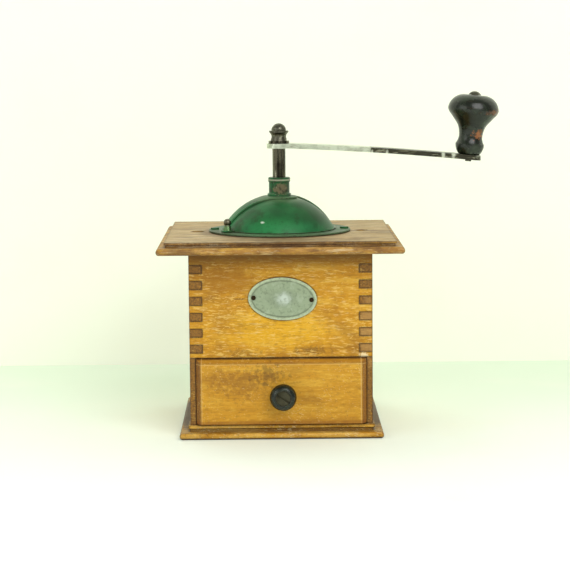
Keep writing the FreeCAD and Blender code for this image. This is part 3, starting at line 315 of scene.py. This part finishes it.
# Turned beech under black lacquer: soft gloss, rubbed to red brown and bare wood where it is held
def lacquer(look, name, layers=None):
    """Black lacquer on turned wood."""
    material, tree, place, shader = surface(name, Specular_IOR_Level=0.45)
    cloud = mottle(tree, place, 7 * MM, detail=6)
    ring = mottle(tree, place, 1.2 * MM, (8, 8, 1), detail=2)
    colour = coat(tree, look.lacquer, linear("#26321f"), cloud, 0.44, 0.72, 0.8)
    colour = coat(tree, colour, linear("#35281a"), ring, 0.58, 0.75, 0.4)
    for layer in layers or ():
        colour = layer(tree, place, colour)
    colour = coat(tree, colour, linear("#54432c"), rubbed(tree, 0.8 * MM), 0.05, 0.3, 0.6)
    paint(shader, tree, colour)
    gloss(tree, shader, cloud, 0.17, 0.36)
    relief(tree, shader, ring, 0.08 * MM)
    return material


# Steel and plated steel: metal with drawn-out scuffs, stains, dull patches and painted shade in its
# hollows
def metal(name, tone, dark, roughness=(0.3, 0.5), scuff=(1, 1, 1), layers=None, wear=0.6,
          metallic=1.0):
    """Aged metal with stains of a darker tone."""
    material, tree, place, shader = surface(name, Metallic=metallic)
    cloud = mottle(tree, place, 6 * MM, detail=6)
    drawn = mottle(tree, place, 0.7 * MM, scuff, detail=3)
    colour = coat(tree, tone, dark, cloud, 0.45, 0.72, wear)
    colour = coat(tree, colour, dark, drawn, 0.55, 0.75, 0.45)
    for layer in layers or ():
        colour = layer(tree, place, colour)
    # Painted shade: darker in hollows and corners where the light hardly reaches
    colour = coat(tree, colour, linear("#2b2418"), crevice(tree, 2.5 * MM), 0.4, 0.9, 0.7)
    paint(shader, tree, colour)
    gloss(tree, shader, drawn, *roughness)
    relief(tree, shader, drawn, 0.05 * MM)
    return material


def dress(material, *names):
    """Gives CAD nodes their material."""
    for name in names:
        mesh = NODES[name].data
        mesh.materials.clear()
        mesh.materials.append(material)


def soften(width, *names):
    """Rounds the sharp edges of CAD nodes a little, as sanding does."""
    for name in names:
        weld = NODES[name].modifiers.new("joined", "WELD")
        weld.merge_threshold = 0.002 * MM
        bevel = NODES[name].modifiers.new("sanded", "BEVEL")
        bevel.width = width
        bevel.segments = 2
        bevel.limit_method = "ANGLE"
        bevel.angle_limit = math.radians(40)
        bevel.harden_normals = True


class GRINDER_OT_case(bpy.types.Operator):
    """Finish the boards, the badge and the screws of the case"""

    bl_idname = "grinder.case"
    bl_label = "Case"

    def execute(self, context):
        look = context.scene.grinder_finish
        front_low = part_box("front_board")[0].z
        front_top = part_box("front_board")[1].z
        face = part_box("front_board")[0].y
        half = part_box("front_board")[1].x
        top_low, top_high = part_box("top_board")
        deck = top_high.z
        base_low, base_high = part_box("base_board")
        base_top = base_high.z
        flange_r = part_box("hopper_dome")[1].x
        badge_low, badge_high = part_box("front_badge")
        badge = (badge_low + badge_high) / 2
        tilt = (0, math.radians(2.2), 0)
        cream = linear("#e8c468")
        dress(beech(look, "waxed beech, front", under=[
            blotches(linear("#d29a1c"), 24 * MM, 0.5, 0.7, 0.6, (2, 1, 1)),
            stain(linear("#e4ac18"), (-0.05 * half, face, front_low + 18 * MM),
                  (62 * MM, 9 * MM, 22 * MM), 0.8, 0.6, 9 * MM),
        ], layers=[
            blotches(linear("#f2d488"), 1.1 * MM, 0.54, 0.68, 0.5, (6, 1, 1)),
            blotches(linear("#96620f"), 1.3 * MM, 0.54, 0.68, 0.45, (8, 1, 1)),
            stain(look.grime_and_shade, (0.33 * half, face, front_low + 4.5 * MM),
                  (18 * MM, 8 * MM, 4.5 * MM), 0.45, 1.4, 4 * MM),
            stain(look.grime_and_shade, (-0.42 * half, face, front_low + 3 * MM),
                  (16 * MM, 8 * MM, 4 * MM), 0.35, 1.4, 4 * MM),
            stain(look.grime_and_shade, (badge_low.x - 6 * MM, face, badge.z),
                  (9 * MM, 5 * MM, 0.8 * MM), 0.7, 0.3, 2 * MM),
            # Dark outline round the badge: grime and painted shade at its edge
            stain(look.grime_and_shade, badge, (24 * MM, 5 * MM, 15.4 * MM), 0.75, 0.03, 3 * MM, 0.08, tilt),
            scratches(cream, 0.6, 0.12, 0.81, 6, 0.9 * MM), scratches(cream, 0.55, -0.8, 0.84, 4),
            stain(linear("#9a6408"), (badge_low.x - 9 * MM, face, badge.z + 11 * MM),
                  (30 * MM, 9 * MM, 13 * MM), 0.6, 0.6, 7 * MM, 0.8),
            # Darker band under the top board's overhang: partly stain, partly painted shadow of the
            # overhang
            band_of(linear("#64400f"), front_top - 7 * MM, deck, 0.88, blur=9 * MM),
            stain(linear("#efdcae"), (half - 6 * MM, face, front_low + 1 * MM),
                  (3.4 * MM, 4 * MM, 2.4 * MM), 0.85, 1.2, 1.2 * MM, 0.5),
        ]), "front_board")
        dress(beech(look, "waxed beech, back", layers=[scratches(cream, 0.5)]), "back_board")
        dress(beech(look, "waxed beech, sides", along="y", edges=0.9, rim=1.4 * MM, layers=[
            blotches(look.beech_dark, 22 * MM, 0.5, 0.75, 0.5), scratches(cream, 0.4),
            stain(linear("#b98d4e"), (half, face, front_low + 17 * MM),
                  (14 * MM, 7 * MM, 30 * MM), 0.6, 0.5, 5 * MM, 0.6)]),
            "left_side_board", "right_side_board")
        dress(beech(look, "waxed beech, base", rim=2.2 * MM, layers=[
            blotches(linear("#eec05a"), 7 * MM, 0.42, 0.6, 0.8, (3, 1, 1)),
            blotches(look.grime_and_shade, 2.5 * MM, 0.58, 0.7, 0.6),
            # Painted shade on the ends of the base; the faces that look up or down are darker too
            toward(look.grime_and_shade, "x", 0.4, 0.9, 0.75), toward(look.grime_and_shade, "z", 0.6, 0.95, 0.45),
            # Dirt and painted shade in the cove of the moulding
            band_of(look.grime_and_shade, base_top - 4.2 * MM, base_top - 2.4 * MM, 0.35, blur=0.5 * MM),
            scratches(linear("#ecd296"), 0.7, 0.3, 0.8, 3),
            # Dark line along the bottom edge: dirt and painted contact shadow
            band_of(look.grime_and_shade, -1 * MM, 1 * MM, 0.8, blur=0.5 * MM),
        ] + [stain(look.grime_and_shade, (side, 3 * MM, base_top), (9 * MM, 68 * MM, 12 * MM), 0.9, 0.3,
                   4 * MM, 0.4)
             for side in (base_low.x + 4 * MM, base_high.x - 4 * MM)]), "base_board")
        # Faded beech: dry and grey, with darker blots where some wax is left
        dress(beech(look, "faded beech, top", tone=linear("#b0813c"), edges=0.6,
                    roughness=(0.45, 0.75), rim=1.7 * MM, layers=[
            blotches(linear("#6e4a22"), 5 * MM, 0.48, 0.62, 0.75, (3, 1, 1)),
            blotches(linear("#d0a35a"), 4 * MM, 0.54, 0.66, 0.7, (4, 1, 1)),
            band_of(look.faded, deck - 0.4 * MM, deck + 2 * MM, 0.8, blur=0.3 * MM),
            blotches(linear("#6b4f33"), 7 * MM, 0.5, 0.64, 0.7, (4, 1, 1)),
            blotches(linear("#dcc79c"), 5 * MM, 0.52, 0.66, 0.65, (5, 1, 1)),
            scratches(linear("#d4ba88"), 0.6),
            stain(look.grime_and_shade, (0, top_low.y + 6 * MM, deck),
                  (90 * MM, 4 * MM, 3 * MM), 0.55, 0.9, 3 * MM, 0.6),
            stain(linear("#664a2a"), (4 * MM, top_low.y + 20 * MM, deck),
                  (66 * MM, 17 * MM, 4 * MM), 0.7, 0.7, 9 * MM),
            blotches(linear("#c79a5a"), 3 * MM, 0.54, 0.68, 0.5, (3, 1, 1)),
            # Ring round the flange: dirt and painted shadow of the dome
            stain(look.grime_and_shade, (-4 * MM, -4 * MM, deck),
                  (flange_r + 9 * MM, flange_r + 9 * MM, 4 * MM), 0.5, 0.12, 6 * MM, 0.2),
            stain(linear("#6b4823"), (top_low.x + 14 * MM, top_low.y, top_low.z),
                  (26 * MM, 9 * MM, 9 * MM), 0.6, 0.9, 4 * MM)]), "top_board")
        # Pressed zinc: pale grey green with a dull bloom, a plain line along its rim and a painted
        # highlight in its middle
        dress(metal("zinc sheet", linear("#bccaaa"), linear("#8b987f"), (0.4, 0.55),
                    metallic=0.5, wear=0.35, layers=[
            stain(linear("#5d6752"), badge, (21 * MM, 9 * MM, 12.6 * MM), 0.75, 0.03, 3 * MM,
                  0.05, tilt),
            stain(look.zinc, badge, (20.1 * MM, 9 * MM, 11.7 * MM), 0.95, 0.05, 3 * MM,
                  0.06, tilt),
            stain(linear("#85937b"), badge, (16 * MM, 9 * MM, 8.5 * MM), 0.5, 0.5, 3 * MM,
                  0.6, tilt),
            # Painted highlight in the middle of the badge
            stain(linear("#d6e2da"), badge + Vector((1 * MM, 0, 0)), (8 * MM, 9 * MM, 7 * MM), 0.7,
                  0.4, 3 * MM, 1.0),
            blotches(linear("#6f7c66"), 1.8 * MM, 0.5, 0.66, 0.5),
            blotches(linear("#b6c4aa"), 5 * MM, 0.52, 0.7, 0.5)]),
            "front_badge")
        # Brown steel: dull and dark in its holes; its dark tone is partly its own and partly painted
        # shade of the recesses the screws sit in
        dress(metal("aged steel, case screws", linear("#3a3022"), linear("#231a10"),
                    (0.45, 0.65)), "badge_pins", "base_screws", "top_screws")
        soften(look.edge, "front_board", "back_board", "left_side_board", "right_side_board",
               "base_board", "top_board")
        return {"FINISHED"}


class GRINDER_OT_drawer(bpy.types.Operator):
    """Finish the drawer and its knob"""

    bl_idname = "grinder.drawer"
    bl_label = "Drawer"

    def execute(self, context):
        look = context.scene.grinder_finish
        low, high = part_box("drawer_front")
        middle = (low + high) / 2
        dress(beech(look, "waxed beech, drawer front", tone=linear("#ca9120"), edges=0.5,
                    bold=0.75, layers=[
            band_of(look.beech_dark, high.z - 3.4 * MM, high.z + 2 * MM, 0.35, blur=0.6 * MM),
            band_of(linear("#8a5215"), low.x - 2 * MM, low.x + 3.4 * MM, 0.45, "x", 0.5 * MM),
            band_of(linear("#a0641a"), high.x - 3.4 * MM, high.x + 2 * MM, 0.45, "x", 0.5 * MM),
            # Painted shadow: dark line in the gap under the front board
            band_of(linear("#4a2c0e"), high.z - 0.7 * MM, high.z + 1 * MM, 0.8, blur=0.3 * MM),
            # Painted highlights: pale lines where the bevels meet the face
            band_of(linear("#dcb36a"), high.z - 3.9 * MM, high.z - 3.3 * MM, 0.5, blur=0.3 * MM),
            band_of(linear("#d9b572"), low.x + 3.3 * MM, low.x + 3.9 * MM, 0.5, "x", 0.3 * MM),
            band_of(linear("#d9b572"), high.x - 3.9 * MM, high.x - 3.3 * MM, 0.6, "x", 0.3 * MM),
            stain(look.beech_dark, (middle.x - 26 * MM, low.y, middle.z + 6 * MM),
                  (30 * MM, 9 * MM, 15 * MM), 0.5, 1.5, 4 * MM, 1.0),
            stain(look.grime_and_shade, (middle.x - 8 * MM, low.y, high.z - 10 * MM),
                  (18 * MM, 9 * MM, 10 * MM), 0.5, 1.7, 3 * MM, 1.0),
            blotches(look.grime_and_shade, 1.8 * MM, 0.6, 0.72, 0.4),
            scratches(linear("#e2bf78"), 0.5, 0.5, 0.84, 2),
            band_of(linear("#8f5414"), low.z - 1 * MM, low.z + 2.4 * MM, 0.55, blur=1 * MM),
        ]), "drawer_front")
        # Bare beech: pale and matt, with little grain to be seen
        dress(beech(look, "bare beech, drawer sides", along="y", tone=look.bare, edges=0.2,
                    bold=0.4, roughness=(0.6, 0.8)),
              "drawer_left_side", "drawer_right_side", "drawer_bottom")
        dress(beech(look, "bare beech, drawer back", tone=look.bare, edges=0.2, bold=0.4,
                    roughness=(0.6, 0.8)), "drawer_back")
        dress(lacquer(look, "black lacquer, drawer knob"), "drawer_knob")
        dress(metal("aged steel, drawer screw", linear("#504e3f"), linear("#2a2418"),
                    (0.45, 0.65)), "drawer_knob_screw", "drawer_knob_nut", "drawer_nails")
        soften(look.edge, "drawer_front", "drawer_left_side", "drawer_right_side", "drawer_back",
               "drawer_bottom")
        return {"FINISHED"}


class GRINDER_OT_hopper(bpy.types.Operator):
    """Finish the dome, its collar, the shutter and the bowl"""

    bl_idname = "grinder.hopper"
    bl_label = "Hopper"

    def execute(self, context):
        look = context.scene.grinder_finish
        collar_low, collar_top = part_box("dome_collar")
        flange, dome_top = (corner.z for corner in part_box("hopper_dome"))
        dull = stain(linear("#1b3a1e"), (31 * MM, -14 * MM, flange + 9 * MM),
                     (17 * MM, 30 * MM, 18 * MM), 0.6, 0.5, 6 * MM, 0.8)
        dress(enamel(look, "green enamel, dome", 0.35, layers=[
            band_of(linear("#5a7050"), flange - 1 * MM, flange + 1.0 * MM, 0.75, blur=0.4 * MM),
            # Paler band at the top of the dome: dust and a painted sheen
            band_of(look.dust_and_sheen, dome_top - 3 * MM, dome_top + 1 * MM, 0.7, blur=3 * MM),
            blotches(linear("#2f2a18"), 4 * MM, 0.54, 0.68, 0.7), dull,
            stain(linear("#34381f"), (-38 * MM, -20 * MM, flange), (20 * MM, 24 * MM, 4 * MM),
                  0.7, 0.6, 4 * MM)], roughness=(0.35, 0.55)),
            "hopper_dome", "dome_screws")
        dress(enamel(look, "green enamel, shutter", 0.1, layers=[
            # Painted reflection: brighter green low in the middle of the shutter
            stain(linear("#2f8649"), (-3 * MM, -38 * MM, flange + 6 * MM),
                  (32 * MM, 20 * MM, 15 * MM), 0.7, 0.3, 9 * MM),
            blotches(linear("#22331c"), 9 * MM, 0.5, 0.66, 0.7),
            blotches(linear("#1d3a20"), 2.2 * MM, 0.54, 0.7, 0.5),
            # Painted shade: darker towards the top
            band_of(linear("#1c4c26"), dome_top - 15 * MM, dome_top, 0.5, blur=5 * MM),
            # Painted reflection: brighter band just above the flange
            band_of(linear("#2c8650"), flange + 1 * MM, flange + 7 * MM, 0.3, blur=3.5 * MM),
            # Paler band at the top: dust and a painted sheen
            band_of(look.dust_and_sheen, dome_top - 3 * MM, dome_top + 1 * MM, 0.7, blur=2.5 * MM),
            stain(linear("#2f2f1c"), (-30 * MM, -25 * MM, flange + 4 * MM),
                  (9 * MM, 14 * MM, 12 * MM), 0.6, 0.8, 4 * MM),
            # The small pale spot after the dull patch is a painted highlight
            dull, stain(linear("#d5e0cf"), (-11.5 * MM, -31 * MM, flange + 8 * MM),
                  (2 * MM, 4 * MM, 1.2 * MM), 0.85, 0.3, 2 * MM)]), "shutter")
        dress(enamel(look, "green enamel, collar", 0.25, layers=[
            stain(linear("#6d6248"), (2 * MM, collar_low.y, collar_top.z - 7.6 * MM),
                  (8 * MM, 6 * MM, 4.6 * MM), 0.9, 0.9, 2.5 * MM, 0.5),
            blotches(linear("#2e2f20"), 2.5 * MM, 0.46, 0.6, 0.8),
            blotches(linear("#8b9478"), 1.4 * MM, 0.58, 0.7, 0.6),
            band_of(linear("#a5a88e"), collar_top.z - 2.2 * MM, collar_top.z - 1.1 * MM, 0.75,
                    blur=0.3 * MM)], roughness=(0.25, 0.45)), "dome_collar")
        dress(metal("aged steel, shutter knob", linear("#6e6a58"), linear("#352e20"),
                    (0.3, 0.5), layers=[band_of(linear("#5f8054"), flange, flange + 5 * MM, 0.9)]),
              "shutter_knob")
        # Drawn and tinned steel: soft grey with dull patches
        dress(metal("tinned steel", linear("#a9a594"), linear("#6f6a58"), (0.35, 0.6)),
              "hopper_bowl", "shutter_retainer")
        return {"FINISHED"}


class GRINDER_OT_crank(bpy.types.Operator):
    """Finish the shaft, the arm, the cap nut and the hand knob"""

    bl_idname = "grinder.crank"
    bl_label = "Crank"

    def execute(self, context):
        look = context.scene.grinder_finish
        arm_low, arm_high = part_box("crank_arm")
        knob_low, knob_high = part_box("crank_knob")
        knob_x = (knob_low.x + knob_high.x) / 2
        mark_z = arm_low.z + 5.2 * MM
        bare_from = arm_low.x + 70 * MM
        pale_marks = [stain(linear("#dfe3cf"), (bare_from + step * MM, arm_low.y, mark_z),
                            (wide * MM, 5 * MM, 5 * MM), 0.85, 0.6, 1.5 * MM)
                      for step, wide in ((1, 1.2), (11, 1.4), (49, 2), (56, 2.4), (73, 4))]
        # Nickel plate on steel: bright and pale, worn to dark bare steel on its outer half
        dress(metal("worn nickel plate", look.nickel, linear("#97a088"), (0.25, 0.45),
                    (14, 2, 1), layers=[
            band_of(linear("#2b261a"), bare_from, arm_high.x + 5 * MM, 0.95, "x", 0.8 * MM),
            blotches(linear("#a6a58c"), 1.4 * MM, 0.56, 0.68, 0.7, (5, 1, 1)),
            blotches(linear("#7c7860"), 3 * MM, 0.52, 0.7, 0.6, (4, 1, 1))] + pale_marks),
              "crank_arm")
        # Turned steel: dark and bright streaks along the shaft
        dress(metal("aged steel, shaft", linear("#635f4f"), linear("#2b2820"), (0.14, 0.3),
                    (1, 1, 14), wear=0.8, layers=[
            blotches(linear("#14120d"), 2 * MM, 0.45, 0.58, 0.85, (1, 1, 20)),
            blotches(linear("#b9b7a2"), 1.6 * MM, 0.55, 0.66, 0.75, (1, 1, 20))]),
              "drive_shaft", "crank_washer")
        dress(metal("aged steel, cap nut", linear("#5b5a4d"), linear("#1f1c15"), (0.25, 0.45),
                    wear=0.85, layers=[blotches(linear("#a9a995"), 1.5 * MM, 0.56, 0.68, 0.7)]),
              "crank_nut", "knob_pin")
        dress(lacquer(look, "black lacquer, hand knob", layers=[
            stain(linear("#6e4024"), (knob_high.x - 4 * MM, -6 * MM, knob_high.z - 12.5 * MM),
                  (13 * MM, 16 * MM, 3 * MM), 0.8, 0.9, 3 * MM),
            stain(linear("#94592c"), (knob_x + 4 * MM, -8 * MM, knob_low.z + 13.8 * MM),
                  (6.5 * MM, 7 * MM, 3.8 * MM), 0.85, 1.7, 2 * MM, 0.7)]), "crank_knob")
        return {"FINISHED"}


class GRINDER_OT_works(bpy.types.Operator):
    """Finish the burrs, the bridge and the adjusting screw"""

    bl_idname = "grinder.works"
    bl_label = "Grinding works"

    def execute(self, context):
        look = context.scene.grinder_finish
        # Cast iron: dark grey, rough and matt
        dress(metal("cast iron", look.iron, linear("#2c2a27"), (0.5, 0.75), metallic=0.9),
              "burr_ring", "burr_cone", "lower_bridge")
        dress(metal("aged steel, adjuster", look.steel, linear("#33291c"), (0.35, 0.55)),
              "adjuster_screw", "adjuster_lock_nut", "thrust_ball", "cone_pin", "bridge_screws",
              "burr_ring_screws")
        return {"FINISHED"}


def sheet_of(name, corners, material):
    """Flat four-cornered piece of the surroundings."""
    mesh = bpy.data.meshes.new(name)
    mesh.from_pydata(corners, [], [(0, 1, 2, 3)])
    mesh.materials.append(material)
    obj = bpy.data.objects.new(name, mesh)
    bpy.context.scene.collection.objects.link(obj)
    return obj


# Floor and wall, in metres: where the far tint sets in, and how far off they show as they are
TINT_FROM, TINT_TO = -0.3, 0.2
PLAIN_FROM, PLAIN_TO = 0.7, 2.2
PLAIN_SHARE = 0.75


def pale(name, colour, far, share):
    """Pale painted surface that keeps shadows, shown more as is far off, and clear from behind."""
    material, tree, place, shader = surface(name, Roughness=0.8, Specular_IOR_Level=0.2)
    cloud = mottle(tree, place, 90 * MM, detail=3)
    depth = add(tree, "MapRange", {"Value": height(tree, place, "y"), "From Min": TINT_FROM,
                                   "From Max": TINT_TO}).outputs[0]
    tint = coat(tree, colour, far, depth, 0.0, 1.0)
    tint = coat(tree, tint, linear("#eef0e2"), cloud, 0.5, 0.8, 0.4)
    paint(shader, tree, tint)
    path = add(tree, "LightPath")
    seen = add(tree, "Math", {0: path.outputs["Is Camera Ray"], 1: path.outputs["Is Glossy Ray"]},
               operation="MAXIMUM")
    seen = add(tree, "Math", {0: seen.outputs[0], 1: path.outputs["Is Transmission Ray"]},
               operation="MAXIMUM")
    away = add(tree, "VectorMath", {0: place}, operation="LENGTH").outputs["Value"]
    rise = add(tree, "MapRange", {"Value": away, "From Min": PLAIN_FROM, "From Max": PLAIN_TO,
                                  "To Min": share, "To Max": PLAIN_SHARE})
    level = add(tree, "Math", {0: seen.outputs[0], 1: rise.outputs[0]}, operation="MULTIPLY")
    glow = add(tree, "Emission", {"Color": tint, "Strength": level.outputs[0]})
    both = add(tree, "AddShader", {0: shader.outputs[0], 1: glow.outputs[0]})
    behind = add(tree, "NewGeometry").outputs["Backfacing"]
    clear = add(tree, "MixShader", {0: behind, 1: both.outputs[0],
                                    2: add(tree, "BsdfTransparent").outputs[0]})
    tree.links.new(clear.outputs[0], tree.nodes["Material Output"].inputs["Surface"])
    return material


def lamp(name, place, target, size, power):
    """Soft square lamp aimed at a point."""
    data = bpy.data.lights.new(name, "AREA")
    data.size = size
    data.energy = power
    obj = bpy.data.objects.new(name, data)
    obj.location = place
    obj.rotation_euler = (Vector(target) - Vector(place)).to_track_quat("-Z", "Y").to_euler()
    bpy.context.scene.collection.objects.link(obj)


class GRINDER_OT_stage(bpy.types.Operator):
    """Set up the camera, the lamps, the floor and the wall"""

    bl_idname = "grinder.stage"
    bl_label = "Stage"

    def execute(self, context):
        stage = context.scene.grinder_stage
        scene = context.scene
        data = bpy.data.cameras.new("camera")
        data.lens = stage.lens
        data.sensor_width = 36
        data.clip_end = 20
        camera = bpy.data.objects.new("camera", data)
        aim = (Matrix.Rotation(-stage.yaw, 4, "Z")
               @ Matrix.Rotation(math.pi / 2 - stage.pitch, 4, "X")
               @ Matrix.Rotation(stage.roll, 4, "Z"))
        camera.matrix_world = Matrix.Translation(stage.eye) @ aim
        scene.collection.objects.link(camera)
        scene.camera = camera
        wide = 3.0
        near = -2.5
        tall = 2.5
        back = stage.wall_y
        sheet_of("floor", [(-wide, near, 0), (wide, near, 0), (wide, -near, 0), (-wide, -near, 0)],
                 pale("pale floor", stage.floor, linear("#e5f3dd"), 0.12))
        wall = sheet_of("wall", [(-wide, back, 0), (wide, back, 0), (wide, back, tall),
                                 (-wide, back, tall)],
                        pale("pale wall", stage.wall, stage.wall, 0.13))
        wall.visible_shadow = False
        middle = (0, 0, 0.1)
        lamp("key", (0.55, -1.25, 1.15), middle, 1.1, stage.key)
        lamp("fill", (-1.2, -0.9, 0.7), middle, 1.0, stage.fill)
        lamp("back", (-0.5, 1.3, 1.0), middle, 1.1, stage.back)
        world = bpy.data.worlds.new("room")
        world.use_nodes = True
        tree = world.node_tree
        background = tree.nodes["Background"]
        background.inputs["Color"].default_value = linear("#fdfef6")
        seen_sky = 0.95
        level = add(tree, "MapRange", {"Value": add(tree, "LightPath").outputs["Is Camera Ray"],
                                       "To Min": stage.sky, "To Max": seen_sky})
        tree.links.new(level.outputs[0], background.inputs["Strength"])
        scene.world = world
        scene.view_settings.view_transform = "Standard"
        return {"FINISHED"}


class GRINDER_PT_panel(bpy.types.Panel):
    """Finishes and stage of the grinder"""

    bl_idname = "GRINDER_PT_panel"
    bl_label = "Grinder"
    bl_space_type = "VIEW_3D"
    bl_region_type = "UI"
    bl_category = "Grinder"

    def draw(self, context):
        for operator in OPERATORS:
            self.layout.operator(operator.bl_idname)
        for group in (context.scene.grinder_finish, context.scene.grinder_stage):
            for name in group.__annotations__:
                self.layout.prop(group, name)


OPERATORS = (GRINDER_OT_case, GRINDER_OT_drawer, GRINDER_OT_hopper, GRINDER_OT_crank,
             GRINDER_OT_works, GRINDER_OT_stage)
CLASSES = (GrinderFinish, GrinderStage) + OPERATORS + (GRINDER_PT_panel,)


def register():
    for cls in CLASSES:
        bpy.utils.register_class(cls)
    bpy.types.Scene.grinder_finish = bpy.props.PointerProperty(type=GrinderFinish)
    bpy.types.Scene.grinder_stage = bpy.props.PointerProperty(type=GrinderStage)


def unregister():
    del bpy.types.Scene.grinder_stage
    del bpy.types.Scene.grinder_finish
    for cls in reversed(CLASSES):
        bpy.utils.unregister_class(cls)


def main():
    register()
    for operator in OPERATORS:
        group, name = operator.bl_idname.split(".")
        if getattr(getattr(bpy.ops, group), name)() != {"FINISHED"}:
            raise RuntimeError(f"{operator.bl_label} wasn't finished")


if __name__ == "__main__":
    main()
